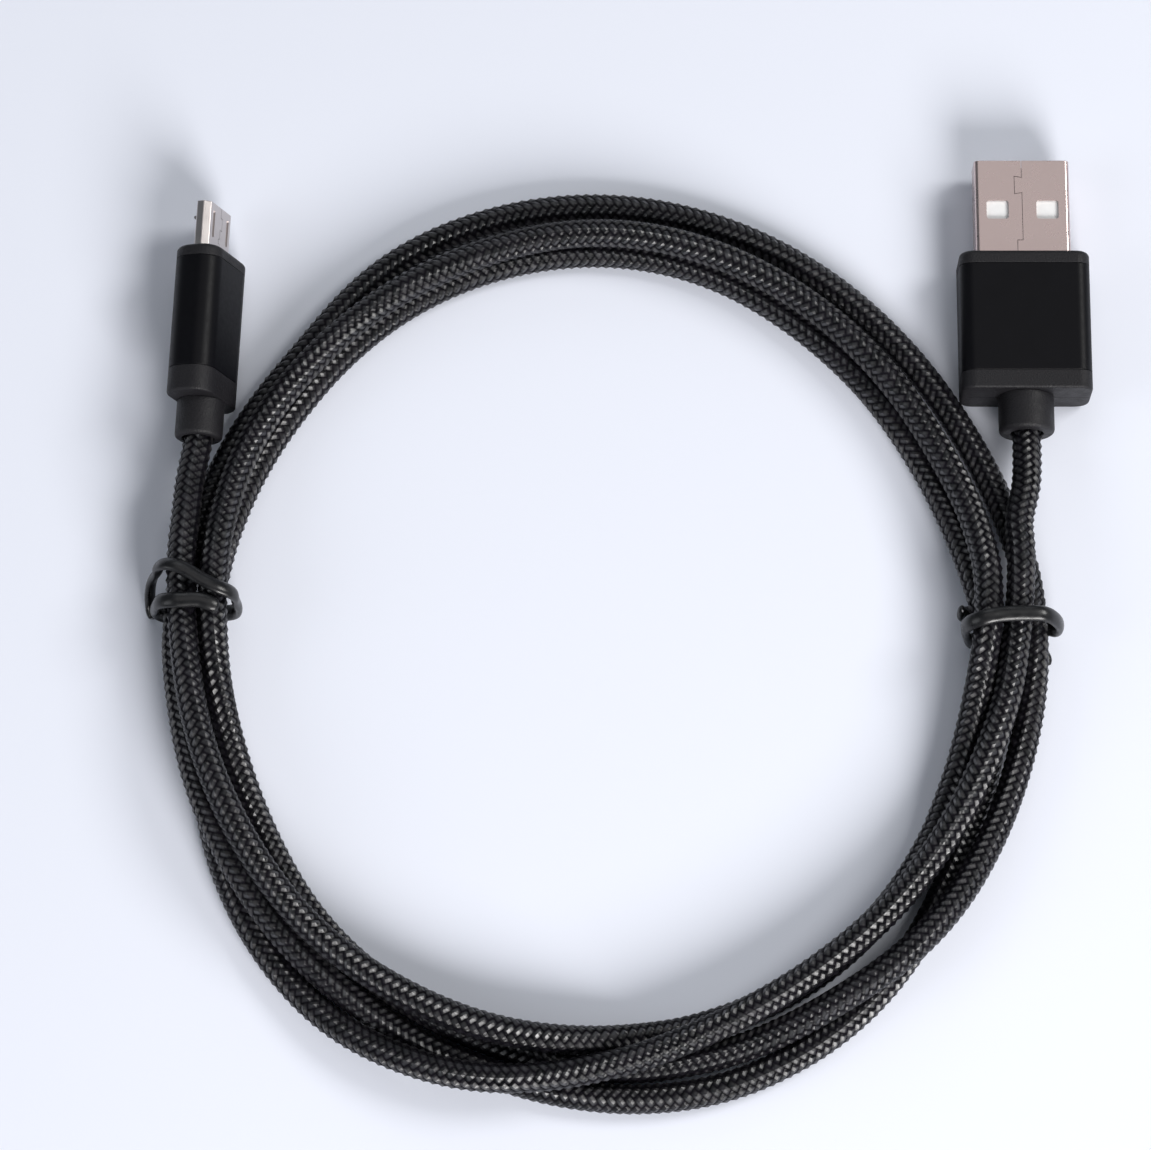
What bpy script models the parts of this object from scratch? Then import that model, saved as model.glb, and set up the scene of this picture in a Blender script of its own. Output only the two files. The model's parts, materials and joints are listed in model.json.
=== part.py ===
"""A braided charging cable with a USB-A plug and a micro-USB plug, coiled and held by two twist ties.

The frame is in metres with +Z up. The cable lies on the plane z = 0, and the origin is under the middle of
the box around its plugs and ties. Both plugs point along +Y.
"""

import math

import bpy
import numpy as np
from mathutils import Matrix, Vector

MM = 0.001

# The cord and the middle of its coil.
CORD_DIAMETER = 3.6 * MM
CORD_RADIUS = CORD_DIAMETER / 2
COIL_CENTRE = Vector((-1.8 * MM, -29.7 * MM, 0))

# The radius of the coiled cord, in millimetres, every 15 degrees from FIRST_ANGLE on, one row for each turn.
FIRST_ANGLE = 165
STATION_STEP = 15
TURN_RADII = (
    (54.0, 52.0, 51.5, 51.5, 51.5, 51.0, 51.0, 50.5, 49.5, 49.0, 48.0, 47.0)
    + (46.5, 47.0, 48.0, 48.0, 49.0, 50.5, 52.0, 53.0, 52.5, 52.0, 51.5, 51.0),
    (49.5, 48.5, 48.0, 48.5, 50.0, 51.0, 52.0, 53.0, 53.5, 53.5, 54.0, 53.5)
    + (53.0, 53.0, 52.5, 52.5, 53.5, 55.0, 56.5, 57.5, 57.5, 56.5, 53.5, 53.0),
    (52.5, 52.5, 53.0, 53.5, 54.5, 55.0, 55.5, 57.0, 57.5, 56.0, 53.5, 50.5)
    + (49.0, 47.5, 46.0, 46.0, 47.0, 48.5, 50.5, 51.5, 51.5, 51.0, 50.0, 49.5),
    (49.5, 50.0, 51.5, 54.5, 57.0, 58.0, 57.0, 53.5, 50.5, 49.0, 48.5, 48.5, 49.0, 50.5, 53.0),
)
# Which pass of the cord lies on which, from the top down, every 15 degrees from 0. A pass is the whole
# number of turns in the cord's running angle.
STACK = (
    ("4123",) * 2
    + ("123",) * 8
    + ("0123",) * 3
    + ("0213",) * 4
    + ("3021",) * 3
    + ("3012",) * 4
)
# How the coil settles: the step between its points in degrees, then each round's sinking in millimetres, and
# the shares by which a point moves to its neighbours' middle and back to its wanted radius.
SETTLE_STEP = 2.5
SETTLE_ROUNDS = 600
SINK, SPREAD, PULL_BACK = 0.03, 0.25, 0.06
# The spacing of settled passes, in cord diameters.
CORD_SPACING = 1.03
# The coil's solid: sides of its section, degrees between sections, and the step where a pass ends.
COIL_SIDES, COIL_STATION_STEP, COIL_END_STEP = 12, 5, 0.3

# A point of the cord between the coil and each plug: x, y from the coil's middle and z, in millimetres.
MICRO_TAIL = (-51.8, 19.8, 6.1)
USB_A_TAIL = (52.4, 20.0, 5.3)
TAIL_JOINT_GAP = 1.0
# The tails start at these running angles. Beside them, from and to these angles, the coil's solid is slimmer.
MICRO_JOIN, USB_A_JOIN = 168, 1448
BESIDE_TAILS = ((8, 31), (149, 168))
TAIL_ROOM = 1.4
TAIL_POINT_SPACING = 5 * MM

# Twist ties, placed at these running angles on the coil.
TIE_HALF_WIDTH, TIE_HALF_THICKNESS = 1.0 * MM, 0.55 * MM
TIE_WIRE_RADIUS, TIE_BORE_RADIUS = 0.2 * MM, 0.34 * MM
# How far the cord rises over a tie, and how many degrees from it the rise is full and has ended.
TIE_LIFT, TIE_LIFT_TOP, TIE_LIFT_REACH = 2.2, 5.2, 18.2
TIE_CLEARANCE = 0.5 * MM
TIE_POINT_SPACING = 1.1
LEFT_TIE = {"angle": 172, "radius": 51.0}
RIGHT_TIE = {"angle": 364, "radius": 49.5}
# Outward, along the cord, and height, in millimetres from the place above.
LEFT_TIE_POINTS = (
    (5.5, 4.4, 1.0),
    (5.8, 3.0, 1.2),
    (6.0, 2.0, 2.4),
    (5.8, 0.5, 4.5),
    (4.7, -0.2, 7.2),
    (3.1, -0.4, 9.0),
    (1.1, 0.1, 9.8),
    (-0.9, 1.0, 10.0),
    (-2.9, 1.7, 9.6),
    (-4.4, 1.9, 8.0),
    (-5.2, 2.2, 5.5),
    (-4.9, 2.4, 2.6),
    (-2.7, 2.5, 0.7),
    (-0.1, 3.0, 0.7),
    (2.5, 3.5, 0.7),
    (3.8, 3.9, 1.5),
    (4.3, 4.0, 4.0),
    (3.3, 4.3, 7.0),
    (1.8, 4.2, 9.2),
    (0.3, 3.9, 10.1),
    (-1.0, 3.7, 10.2),
    (-2.2, 3.9, 10.0),
    (-3.2, 4.2, 9.4),
)
RIGHT_TIE_POINTS = (
    (-4.9, 0.4, 4.6),
    (-4.5, 0.6, 2.4),
    (-3.2, 1.1, 0.7),
    (0.0, 0.6, 0.7),
    (3.4, -0.5, 0.7),
    (6.2, -2.3, 3.0),
    (6.1, -2.5, 7.2),
    (4.3, -2.1, 9.8),
    (1.6, -1.9, 10.2),
    (-1.2, -1.9, 10.2),
    (-3.6, -2.3, 9.4),
    (-4.9, -2.6, 6.8),
    (-4.9, -2.8, 4.0),
    (-4.2, -2.7, 1.4),
    (-2.0, -2.2, 0.7),
    (2.0, -3.4, 0.7),
    (4.4, -4.8, 0.7),
    (5.0, -6.3, 0.7),
)

# The USB-A plug: x, y of the cord's exit from its strain relief, and lengths along +Y from there.
USB_A_EXIT = (52.7, 26.1, 4.1)
USB_A_WIDTH, USB_A_HEIGHT, USB_A_CORNER = 16.4 * MM, 8.2 * MM, 1.8 * MM
USB_A_SHELL_WIDTH, USB_A_SHELL_HEIGHT = 12.0 * MM, 4.5 * MM
USB_A_SHELL_WALL = 0.3 * MM
USB_A_WINDOW = (2.8 * MM, 2.5 * MM)
USB_A_WINDOW_X, USB_A_WINDOW_Y = 3.1 * MM, 29.6 * MM
USB_A_CONTACT_X = (-3.5, -1.0, 1.0, 3.5)
USB_A_CONTACT_LENGTH = (7.4, 6.4, 6.4, 7.4)

# The micro-USB plug leans to the right and lies rolled on its narrow side.
MICRO_EXIT = (-50.9, 25.5, 5.45)
MICRO_LEAN = math.radians(-2.8)
MICRO_ROLL = math.radians(68)
MICRO_WIDTH, MICRO_HEIGHT, MICRO_CORNER = 10.8 * MM, 6.2 * MM, 2.5 * MM
MICRO_SHELL_WIDTH, MICRO_SHELL_NARROW, MICRO_SHELL_HEIGHT = 6.85 * MM, 5.5 * MM, 1.85 * MM
MICRO_SHELL_WALL = 0.25 * MM
MICRO_CONTACT_PITCH = 0.65 * MM
MICRO_LATCH_X = 2.55 * MM

# Where the plugs' pieces start and end along +Y from the cord's exit, in millimetres.
USB_A_SPANS = {
    "strain_relief": (0.5, 5.2),
    "rear_collar": (5.4, 7.6),
    "sleeve": (7.8, 21.8),
    "front_collar": (22.0, 23.6),
    "crimp": (8.0, 11.2),
    "inner_mould": (12.0, 17.2),
    "wires": (11.5, 17.7),
    "shell": (17.6, 36.2),
}
MICRO_SPANS = {
    "strain_relief": (0.0, 4.7),
    "rear_collar": (4.9, 8.0),
    "sleeve": (8.2, 22.6),
    "front_collar": (22.8, 24.2),
    "crimp": (8.6, 11.2),
    "inner_mould": (12.0, 20.2),
    "wires": (11.8, 20.4),
    "shell": (20.5, 30.6),
}
# The shell is a little slimmer inside its housing, up to this place in front of it.
USB_A_SHELL_SPLIT, USB_A_SHELL_STEP = 24.0 * MM, 0.1 * MM
USB_A_CORD_END, MICRO_CORD_END = 11.0 * MM, 11.2 * MM
USB_A_RELIEF_RADIUS, MICRO_RELIEF_RADIUS = 3.5 * MM, 3.0 * MM
USB_A_WALL, MICRO_WALL = 0.8 * MM, 0.7 * MM
SHELL_CLEARANCE = 0.3 * MM

# Each plug's own axes: the origin is the cord's exit, and +Y runs to the tip.
USB_A_FRAME = Matrix.Translation(COIL_CENTRE + Vector(USB_A_EXIT) * MM)
MICRO_FRAME = (
    Matrix.Translation(COIL_CENTRE + Vector(MICRO_EXIT) * MM)
    @ Matrix.Rotation(MICRO_LEAN, 4, "Z")
    @ Matrix.Rotation(MICRO_ROLL, 4, "Y")
)
# The roots of the micro-USB plug's springs: y and z in its own axes.
MICRO_CONTACT_HINGE = (25.0 * MM, 0.075 * MM)
MICRO_LATCH_HINGE = (25.0 * MM, -0.5 * MM)

BORE_RADIUS = 2.1 * MM
EDGE = 0.25 * MM
CORNER_STEPS = 4


def clear_scene():
    for obj in list(bpy.data.objects):
        bpy.data.objects.remove(obj, do_unlink=True)


def material(name, colour, roughness, metallic=0.0):
    made = bpy.data.materials.get(name)
    if made:
        return made
    made = bpy.data.materials.new(name)
    made.use_nodes = True
    shader = made.node_tree.nodes["Principled BSDF"]
    shader.inputs["Base Color"].default_value = (*colour, 1)
    shader.inputs["Roughness"].default_value = roughness
    shader.inputs["Metallic"].default_value = metallic
    return made


def add_object(name, data, finish, parent=None):
    obj = bpy.data.objects.new(name, data)
    bpy.context.scene.collection.objects.link(obj)
    obj.parent = parent
    data.materials.append(finish)
    return obj


def add_mesh(name, points, faces, finish, parent=None, sharp_angle=40):
    mesh = bpy.data.meshes.new(name)
    mesh.from_pydata([tuple(p) for p in points], [], faces)
    mesh.validate()
    mesh.shade_smooth()
    mesh.set_sharp_from_angle(angle=math.radians(sharp_angle))
    return add_object(name, mesh, finish, parent)


def add_frame(name, location, rotation=None):
    """An empty that places a plug or a hinge."""
    frame = bpy.data.objects.new(name, None)
    bpy.context.scene.collection.objects.link(frame)
    frame.matrix_world = Matrix.Translation(location) @ (rotation or Matrix.Identity(4))
    return frame


def bridge(rings, wrap):
    """Quads between rings of points. With wrap the last ring joins the first, else both ends are capped."""
    count = len(rings[0])
    points = [p for ring in rings for p in ring]
    faces = []
    for i in range(len(rings) if wrap else len(rings) - 1):
        low, high = i * count, (i + 1) % len(rings) * count
        for j in range(count):
            k = (j + 1) % count
            faces.append((low + j, low + k, high + k, high + j))
    if not wrap:
        faces.append(tuple(reversed(range(count))))
        faces.append(tuple(range(len(points) - count, len(points))))
    return points, faces


def rounded_rectangle(width, height, corner):
    """Points counter-clockwise in x, z, with the same number in each corner."""
    points = []
    for quarter in range(4):
        middle = math.radians(45 + 90 * quarter)
        x = math.copysign(width / 2 - corner, math.cos(middle))
        z = math.copysign(height / 2 - corner, math.sin(middle))
        for step in range(CORNER_STEPS + 1):
            angle = math.radians(90 * (quarter + step / CORNER_STEPS))
            points.append((x + corner * math.cos(angle), z + corner * math.sin(angle)))
    return points


def circle(radius):
    """A circle with as many points as a rounded rectangle, at matching angles."""
    points = []
    for quarter in range(4):
        for step in range(CORNER_STEPS + 1):
            angle = math.radians(90 * quarter + 90 * (step + 0.5) / (CORNER_STEPS + 1))
            points.append((radius * math.cos(angle), radius * math.sin(angle)))
    return points


def at(outline, y, inset=0.0):
    """The outline as a ring at y, drawn in by inset on each side."""
    half_x = max(abs(x) for x, _ in outline)
    half_z = max(abs(z) for _, z in outline)
    return [
        Vector((x * (1 - inset / half_x), y, z * (1 - inset / half_z)))
        for x, z in outline
    ]


def along_y(rings, wrap):
    """The bridge of rings that run counter-clockwise in x, z, turned so that its faces point out."""
    points, faces = bridge(rings, wrap)
    return points, [tuple(reversed(face)) for face in faces]


def add_sleeve(name, outer, inner, span, finish, parent, edge=EDGE):
    """A tube along Y between two outlines, with its outer edges eased. span is in millimetres."""
    y0, y1 = span[0] * MM, span[1] * MM
    rings = [
        at(outer, y0, edge),
        at(outer, y0 + edge),
        at(outer, y1 - edge),
        at(outer, y1, edge),
        at(inner, y1),
        at(inner, y0),
    ]
    points, faces = along_y(rings, wrap=True)
    return add_mesh(name, points, faces, finish, parent)


def add_box(name, low, high, finish, parent=None):
    (x0, y0, z0), (x1, y1, z1) = low, high
    ring = ((x0, z0), (x1, z0), (x1, z1), (x0, z1))
    rings = [[Vector((x, y, z)) for x, z in ring] for y in (y0, y1)]
    points, faces = along_y(rings, wrap=False)
    return add_mesh(name, points, faces, finish, parent)


def add_side_profile(name, profile, half_width, finish, parent):
    """A solid with the y, z profile, counter-clockwise from +X, and this wide on each side of x = 0."""
    rings = [[Vector((x, y, z)) for y, z in profile] for x in (-half_width, half_width)]
    points, faces = bridge(rings, wrap=False)
    return add_mesh(name, points, faces, finish, parent)


def cut(target, cutter):
    cutter.hide_render = True
    cutter.display_type = "WIRE"
    modifier = target.modifiers.new("cut " + cutter.name, "BOOLEAN")
    modifier.operation = "DIFFERENCE"
    modifier.object = cutter


def smooth_through(knots, values, places):
    """Values read at places on a smooth curve through the knots."""
    knots, values = np.asarray(knots, float), np.asarray(values, float)
    slopes = np.gradient(values, knots)
    i = np.clip(np.searchsorted(knots, places, side="right") - 1, 0, len(knots) - 2)
    span = knots[i + 1] - knots[i]
    t = (places - knots[i]) / span
    start = (2 * t**3 - 3 * t**2 + 1) * values[i] + (t**3 - 2 * t**2 + t) * span * slopes[i]
    end = (3 * t**2 - 2 * t**3) * values[i + 1] + (t**3 - t**2) * span * slopes[i + 1]
    return start + end


def stack_height(angle):
    """How many passes of the cord lie under this one."""
    turn, station = divmod(round(angle / STATION_STEP), len(STACK))
    order = STACK[station]
    return len(order) - 1 - order.index(str(turn))


def floor_heights(angles):
    """The lowest that the cord's middle can be: on the surface, or on a tie that passes under it."""
    lowest = np.full(len(angles), CORD_RADIUS / MM)
    for tie in (LEFT_TIE, RIGHT_TIE):
        away = np.abs((angles - tie["angle"] + 180) % 360 - 180)
        near = np.clip((TIE_LIFT_REACH - away) / (TIE_LIFT_REACH - TIE_LIFT_TOP), 0, 1)
        lift = TIE_LIFT * near**2 * (3 - 2 * near)
        lowest = np.maximum(lowest, CORD_RADIUS / MM + lift)
    return lowest


def settle_coil():
    """Running angles, radii and heights of the coiled cord, in degrees and millimetres.

    The turns start stacked in their order. They then sink onto the surface and onto each other, and push
    each other aside until none is closer than a diameter.
    """
    radii = [radius for row in TURN_RADII for radius in row]
    stations = FIRST_ANGLE + STATION_STEP * np.arange(len(radii))
    angles = np.arange(stations[0], stations[-1] + SETTLE_STEP / 2, SETTLE_STEP)
    wanted = smooth_through(stations, radii, angles)
    lowest = floor_heights(angles)
    spacing = CORD_DIAMETER / MM * CORD_SPACING
    under = np.array([stack_height(angle) for angle in angles])
    height = np.maximum(lowest, CORD_RADIUS / MM + under * CORD_DIAMETER / MM)
    radius = wanted.copy()
    per_turn = round(360 / SETTLE_STEP)
    for _ in range(SETTLE_ROUNDS):
        height -= SINK
        for line in (height, radius) * 3:
            line[1:-1] += SPREAD * (line[:-2] + line[2:] - 2 * line[1:-1])
            radius += PULL_BACK * (wanted - radius)
        for turns in (1, 2, 3) * 4:
            inner, outer = slice(None, -per_turn * turns), slice(per_turn * turns, None)
            across = radius[outer] - radius[inner]
            up = height[outer] - height[inner]
            apart = np.hypot(across, up) + 1e-9
            push = np.clip(spacing - apart, 0, None) / 2 / apart
            radius[inner] -= push * across
            radius[outer] += push * across
            height[inner] -= push * up
            height[outer] += push * up
            height = np.maximum(height, lowest)
    return angles, radius, height


def on_coil(angle, radius, height):
    turned = math.radians(angle)
    spot = Vector((radius * math.cos(turned), radius * math.sin(turned), height))
    return COIL_CENTRE + spot * MM


def evenly(points, spacing):
    """Points about the given distance apart on a smooth curve through these."""
    points = np.array(points)
    steps = np.linalg.norm(np.diff(points, axis=0), axis=1)
    along = np.concatenate([[0], np.cumsum(steps)])
    places = np.linspace(0, along[-1], max(3, round(along[-1] / spacing) + 1))
    return np.stack([smooth_through(along, points[:, i], places) for i in range(3)], axis=1)


def add_cord_tube(name, points, finish):
    curve = bpy.data.curves.new(name, "CURVE")
    curve.dimensions = "3D"
    curve.bevel_depth = CORD_RADIUS
    curve.bevel_resolution = 2
    curve.use_fill_caps = True
    spline = curve.splines.new("POLY")
    spline.points.add(len(points) - 1)
    for spot, point in zip(spline.points, points):
        spot.co = (*point, 1)
    return add_object(name, curve, finish)


def outline_of(circles, radius, directions):
    """The polygon that fits round circles of this radius, one corner between each two directions."""
    reach = [max(x * c + z * s for x, z in circles) + radius for c, s in directions]
    corners = []
    for i, (c0, s0) in enumerate(directions):
        c1, s1 = directions[(i + 1) % len(directions)]
        h0, h1 = reach[i], reach[(i + 1) % len(reach)]
        across = c0 * s1 - s0 * c1
        corners.append(((h0 * s1 - h1 * s0) / across, (h1 * c0 - h0 * c1) / across))
    return corners


def add_coil_solid(route, finish):
    """One ring round all passes of the cord, whose section changes as they cross."""
    angles, radii, heights = route
    turns = [2 * math.pi * i / COIL_SIDES for i in range(COIL_SIDES)]
    directions = [(math.cos(turn), math.sin(turn)) for turn in turns]
    stations = sorted(
        set(range(0, 360, COIL_STATION_STEP))
        | {MICRO_JOIN % 360, MICRO_JOIN % 360 - COIL_END_STEP}
        | {USB_A_JOIN % 360, USB_A_JOIN % 360 + COIL_END_STEP}
    )
    rings = []
    for station in stations:
        passes = [
            station + 360 * turn
            for turn in range(5)
            if MICRO_JOIN <= station + 360 * turn <= USB_A_JOIN
        ]
        circles = [
            (np.interp(a, angles, radii), np.interp(a, angles, heights)) for a in passes
        ]
        beside_tail = any(start < station < end for start, end in BESIDE_TAILS)
        radius = CORD_RADIUS / MM - (TAIL_ROOM if beside_tail else 0)
        section = outline_of(circles, radius, directions)
        rings.append([on_coil(station, r, max(z, 0)) for r, z in section])
    points, faces = bridge(rings, wrap=True)
    faces = [tuple(reversed(face)) for face in faces]
    return add_mesh("cord_coil", points, faces, finish, sharp_angle=60)


def add_cords(route):
    """The coil's solid, and the cord from it into each plug."""
    angles, radii, heights = route
    finish = material("braided_nylon", (0.012, 0.012, 0.014), 0.55)
    add_coil_solid(route, finish)

    def coil_point(angle):
        return on_coil(
            angle, np.interp(angle, angles, radii), np.interp(angle, angles, heights)
        )

    into_micro = MICRO_FRAME @ Vector((0, MICRO_CORD_END, 0))
    micro = [into_micro, MICRO_FRAME.translation, COIL_CENTRE + Vector(MICRO_TAIL) * MM]
    micro += [coil_point(FIRST_ANGLE), coil_point(MICRO_JOIN - TAIL_JOINT_GAP)]
    add_cord_tube("micro_tail", evenly(micro, TAIL_POINT_SPACING), finish)
    into_usb_a = USB_A_FRAME @ Vector((0, USB_A_CORD_END, 0))
    usb_a = [coil_point(USB_A_JOIN + TAIL_JOINT_GAP), coil_point(angles[-1])]
    usb_a += [COIL_CENTRE + Vector(USB_A_TAIL) * MM, USB_A_FRAME.translation, into_usb_a]
    add_cord_tube("usb_a_tail", evenly(usb_a, TAIL_POINT_SPACING), finish)


def headings(path):
    return [
        (path[min(i + 1, len(path) - 1)] - path[max(i - 1, 0)]).normalized() for i in range(len(path))
    ]


def carried(path, start, direction):
    """A direction across the path at its start point, carried from there to both ends without twisting."""
    ahead = headings(path)
    across = [None] * len(path)
    last = direction
    for i in (*range(start, len(path)), *range(start - 1, -1, -1)):
        if i == start - 1:
            last = across[start]
        last = (last - ahead[i] * last.dot(ahead[i])).normalized()
        across[i] = last
    return across


def swept_ring(path, across, half_width, half_thickness, sides):
    """Rings of points round a path, half_width to each side in the directions across it."""
    turns = [2 * math.pi * k / sides for k in range(sides)]
    rings = []
    for point, ahead, side in zip(path, headings(path), across):
        other = side.cross(ahead)
        ring = [
            point - half_thickness * math.sin(t) * other + half_width * math.cos(t) * side
            for t in turns
        ]
        rings.append(ring)
    return rings


def push_clear(point, circles, clearance):
    """Moves a point of a tie out of the bundle of cords, in the plane across it."""
    reach, best = None, None
    for degrees in range(0, 360, 5):
        turned = math.radians(degrees)
        c, s = math.cos(turned), math.sin(turned)
        edge = max(x * c + z * s for x, z in circles) + CORD_RADIUS / MM
        away = point[0] * c + point[2] * s - edge
        if reach is None or away > reach:
            reach, best = away, (c, s)
    short = max(clearance / MM - reach, 0)
    return (point[0] + best[0] * short, point[1], point[2] + best[1] * short)


def tie_path(tie, points, route):
    """The middle of a tie's wire in world coordinates."""
    angles, radii, heights = route
    turned = math.radians(tie["angle"])
    outward = Vector((math.cos(turned), math.sin(turned), 0))
    along = Vector((-math.sin(turned), math.cos(turned), 0))
    path = []
    for across, lengthwise, height in evenly(points, TIE_POINT_SPACING):
        station = tie["angle"] % 360 + math.degrees(lengthwise / tie["radius"])
        passes = [station + 360 * turn for turn in range(5)]
        circles = [
            (np.interp(a, angles, radii) - tie["radius"], np.interp(a, angles, heights))
            for a in passes
            if angles[0] <= a <= angles[-1]
        ]
        room = TIE_HALF_THICKNESS + TIE_CLEARANCE
        clear = push_clear((across, lengthwise, height), circles, room)
        spot = outward * (tie["radius"] + clear[0]) + along * clear[1]
        spot.z = max(clear[2], TIE_HALF_THICKNESS / MM)
        path.append(COIL_CENTRE + spot * MM)
    return path


def add_tie(name, tie, points, route):
    """A plastic coat with a steel wire in its bore."""
    coat = material("tie_vinyl", (0.012, 0.012, 0.013), 0.35)
    steel = material("tie_steel", (0.55, 0.55, 0.56), 0.35, 1.0)
    path = [Vector(p) for p in evenly(tie_path(tie, points, route), TIE_POINT_SPACING * MM)]
    turned = math.radians(tie["angle"])
    along_cord = Vector((-math.sin(turned), math.cos(turned), 0))
    ahead = headings(path)
    squarest = min(range(len(path)), key=lambda i: abs(ahead[i].dot(along_cord)))
    across = carried(path, squarest, along_cord)
    for point, ring in zip(path, swept_ring(path, across, TIE_HALF_WIDTH, TIE_HALF_THICKNESS, 8)):
        point.z -= min(0, *(corner.z for corner in ring))
    outer = swept_ring(path, across, TIE_HALF_WIDTH, TIE_HALF_THICKNESS, 8)
    inner = swept_ring(path, across, TIE_BORE_RADIUS, TIE_BORE_RADIUS, 8)
    rings, faces = bridge(outer + inner[::-1], wrap=True)
    add_mesh(name + "_coat", rings, faces, coat)
    wire = swept_ring(path, across, TIE_WIRE_RADIUS, TIE_WIRE_RADIUS, 6)
    rings, faces = bridge(wire, wrap=False)
    add_mesh(name + "_wire", rings, faces, steel)


def add_wires(prefix, spots, span, radius, parent):
    """Four insulated conductors. spots are each wire's x at the cord and at the contacts."""
    y0, y1 = span[0] * MM, span[1] * MM
    colours = ((0.5, 0.02, 0.02), (0.75, 0.75, 0.72), (0.02, 0.3, 0.05), (0.02, 0.02, 0.02))
    for number, (x0, x1) in enumerate(spots, 1):
        finish = material(f"wire_{number}", colours[number - 1], 0.4)
        bend = (y1 - y0) / 4
        places = ((x0, y0), (x0, y0 + bend), (x1, y1 - bend), (x1, y1))
        path = [Vector((x, y, 0)) for x, y in places]
        rings = swept_ring(path, carried(path, 0, Vector((0, 0, 1))), radius, radius, 8)
        points, faces = bridge(rings, wrap=False)
        add_mesh(f"{prefix}_wire_{number}", points, faces, finish, parent)


def add_usb_a_shell(outer, mouth, finish, plug):
    """The metal shell, which steps up to its full size where it leaves its housing."""
    tail, tip = (y * MM for y in USB_A_SPANS["shell"])
    ease = 0.12 * MM
    rings = [
        at(outer, tail, USB_A_SHELL_STEP),
        at(outer, USB_A_SHELL_SPLIT - USB_A_SHELL_STEP, USB_A_SHELL_STEP),
        at(outer, USB_A_SHELL_SPLIT),
        at(outer, tip - ease),
        at(outer, tip, ease),
        at(mouth, tip),
        at(mouth, tail),
    ]
    points, faces = along_y(rings, wrap=True)
    return add_mesh("usb_a_shell", points, faces, finish, plug)


def add_housing(prefix, plug, body, hollow, around_shell, relief_radius, spans):
    """The strain relief and the three pieces of the housing."""
    textured = material("textured_plastic", (0.016, 0.016, 0.018), 0.55)
    satin = material("satin_black", (0.010, 0.011, 0.014), 0.32)
    bore = circle(BORE_RADIUS)
    pieces = (
        ("strain_relief", circle(relief_radius), bore, textured),
        ("rear_collar", body, bore, textured),
        ("sleeve", body, hollow, satin),
        ("front_collar", body, around_shell, textured),
    )
    for piece, outer, inner, finish in pieces:
        add_sleeve(f"{prefix}_{piece}", outer, inner, spans[piece], finish, plug)


def add_inside(prefix, plug, crimp_radius, crimp_finish, mould, channel, spans):
    """The crimped ring on the cord's end and the mould round the wires."""
    vinyl = material("black_vinyl", (0.015, 0.015, 0.016), 0.5)
    ease = 0.1 * MM
    add_sleeve(
        f"{prefix}_crimp",
        circle(crimp_radius),
        circle(BORE_RADIUS),
        spans["crimp"],
        crimp_finish,
        plug,
        ease,
    )
    add_sleeve(f"{prefix}_inner_mould", mould, channel, spans["inner_mould"], vinyl, plug)


def add_usb_a_plug():
    plug = add_frame("usb_a_plug_frame", USB_A_FRAME.translation)
    nickel = material("satin_nickel", (0.62, 0.55, 0.52), 0.3, 1.0)
    white = material("white_plastic", (0.85, 0.85, 0.85), 0.4)
    gold = material("gold_contact", (0.75, 0.55, 0.22), 0.25, 1.0)
    body = rounded_rectangle(USB_A_WIDTH, USB_A_HEIGHT, USB_A_CORNER)
    thinner = 2 * USB_A_WALL
    hollow = rounded_rectangle(USB_A_WIDTH - thinner, USB_A_HEIGHT - thinner, 1.0 * MM)
    shell = rounded_rectangle(USB_A_SHELL_WIDTH, USB_A_SHELL_HEIGHT, 0.55 * MM)
    wall = 2 * USB_A_SHELL_WALL
    mouth = rounded_rectangle(USB_A_SHELL_WIDTH - wall, USB_A_SHELL_HEIGHT - wall, 0.25 * MM)
    room = 2 * SHELL_CLEARANCE
    around_shell = rounded_rectangle(
        USB_A_SHELL_WIDTH + room, USB_A_SHELL_HEIGHT + room, 0.85 * MM
    )
    add_housing("usb_a", plug, body, hollow, around_shell, USB_A_RELIEF_RADIUS, USB_A_SPANS)
    mould = rounded_rectangle(14.2 * MM, 6.0 * MM, 0.8 * MM)
    channel = rounded_rectangle(9.6 * MM, 2.4 * MM, 0.3 * MM)
    add_inside("usb_a", plug, 2.8 * MM, nickel, mould, channel, USB_A_SPANS)
    spots = [(1.05 * MM * (i - 1.5), USB_A_CONTACT_X[i] * MM) for i in range(4)]
    add_wires("usb_a", spots, USB_A_SPANS["wires"], 0.4 * MM, plug)

    metal = add_usb_a_shell(shell, mouth, nickel, plug)
    half_x, half_y = USB_A_WINDOW[0] / 2, USB_A_WINDOW[1] / 2
    for side in (-1, 1):
        low = (side * USB_A_WINDOW_X - half_x, USB_A_WINDOW_Y - half_y, -4 * MM)
        high = (side * USB_A_WINDOW_X + half_x, USB_A_WINDOW_Y + half_y, 4 * MM)
        cut(metal, add_box(f"window_cutter_{side}", low, high, nickel, plug))

    tongue = ((18, -1.85), (24.5, -1.85), (24.5, -0.05), (35.4, -0.05), (35.4, 1.85), (18, 1.85))
    profile = [(y * MM, z * MM) for y, z in tongue]
    add_side_profile("usb_a_insulator", profile, 5.5 * MM, white, plug)
    for number, (x, length) in enumerate(zip(USB_A_CONTACT_X, USB_A_CONTACT_LENGTH), 1):
        low = ((x - 0.5) * MM, 26.8 * MM, -0.35 * MM)
        high = ((x + 0.5) * MM, (26.8 + length) * MM, -0.1 * MM)
        add_box(f"usb_a_contact_{number}", low, high, gold, plug)


def micro_outline(inset):
    """The micro shell's outline: wide below, with its upper corners cut off."""
    wide = MICRO_SHELL_WIDTH / 2 - inset
    narrow = MICRO_SHELL_NARROW / 2 - inset * 0.7
    half = MICRO_SHELL_HEIGHT / 2 - inset
    shoulder = 0.1 * MM
    return [(wide, shoulder), (narrow, half), (-narrow, half), (-wide, shoulder)] + [
        (-wide, -half),
        (wide, -half),
    ]


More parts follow.
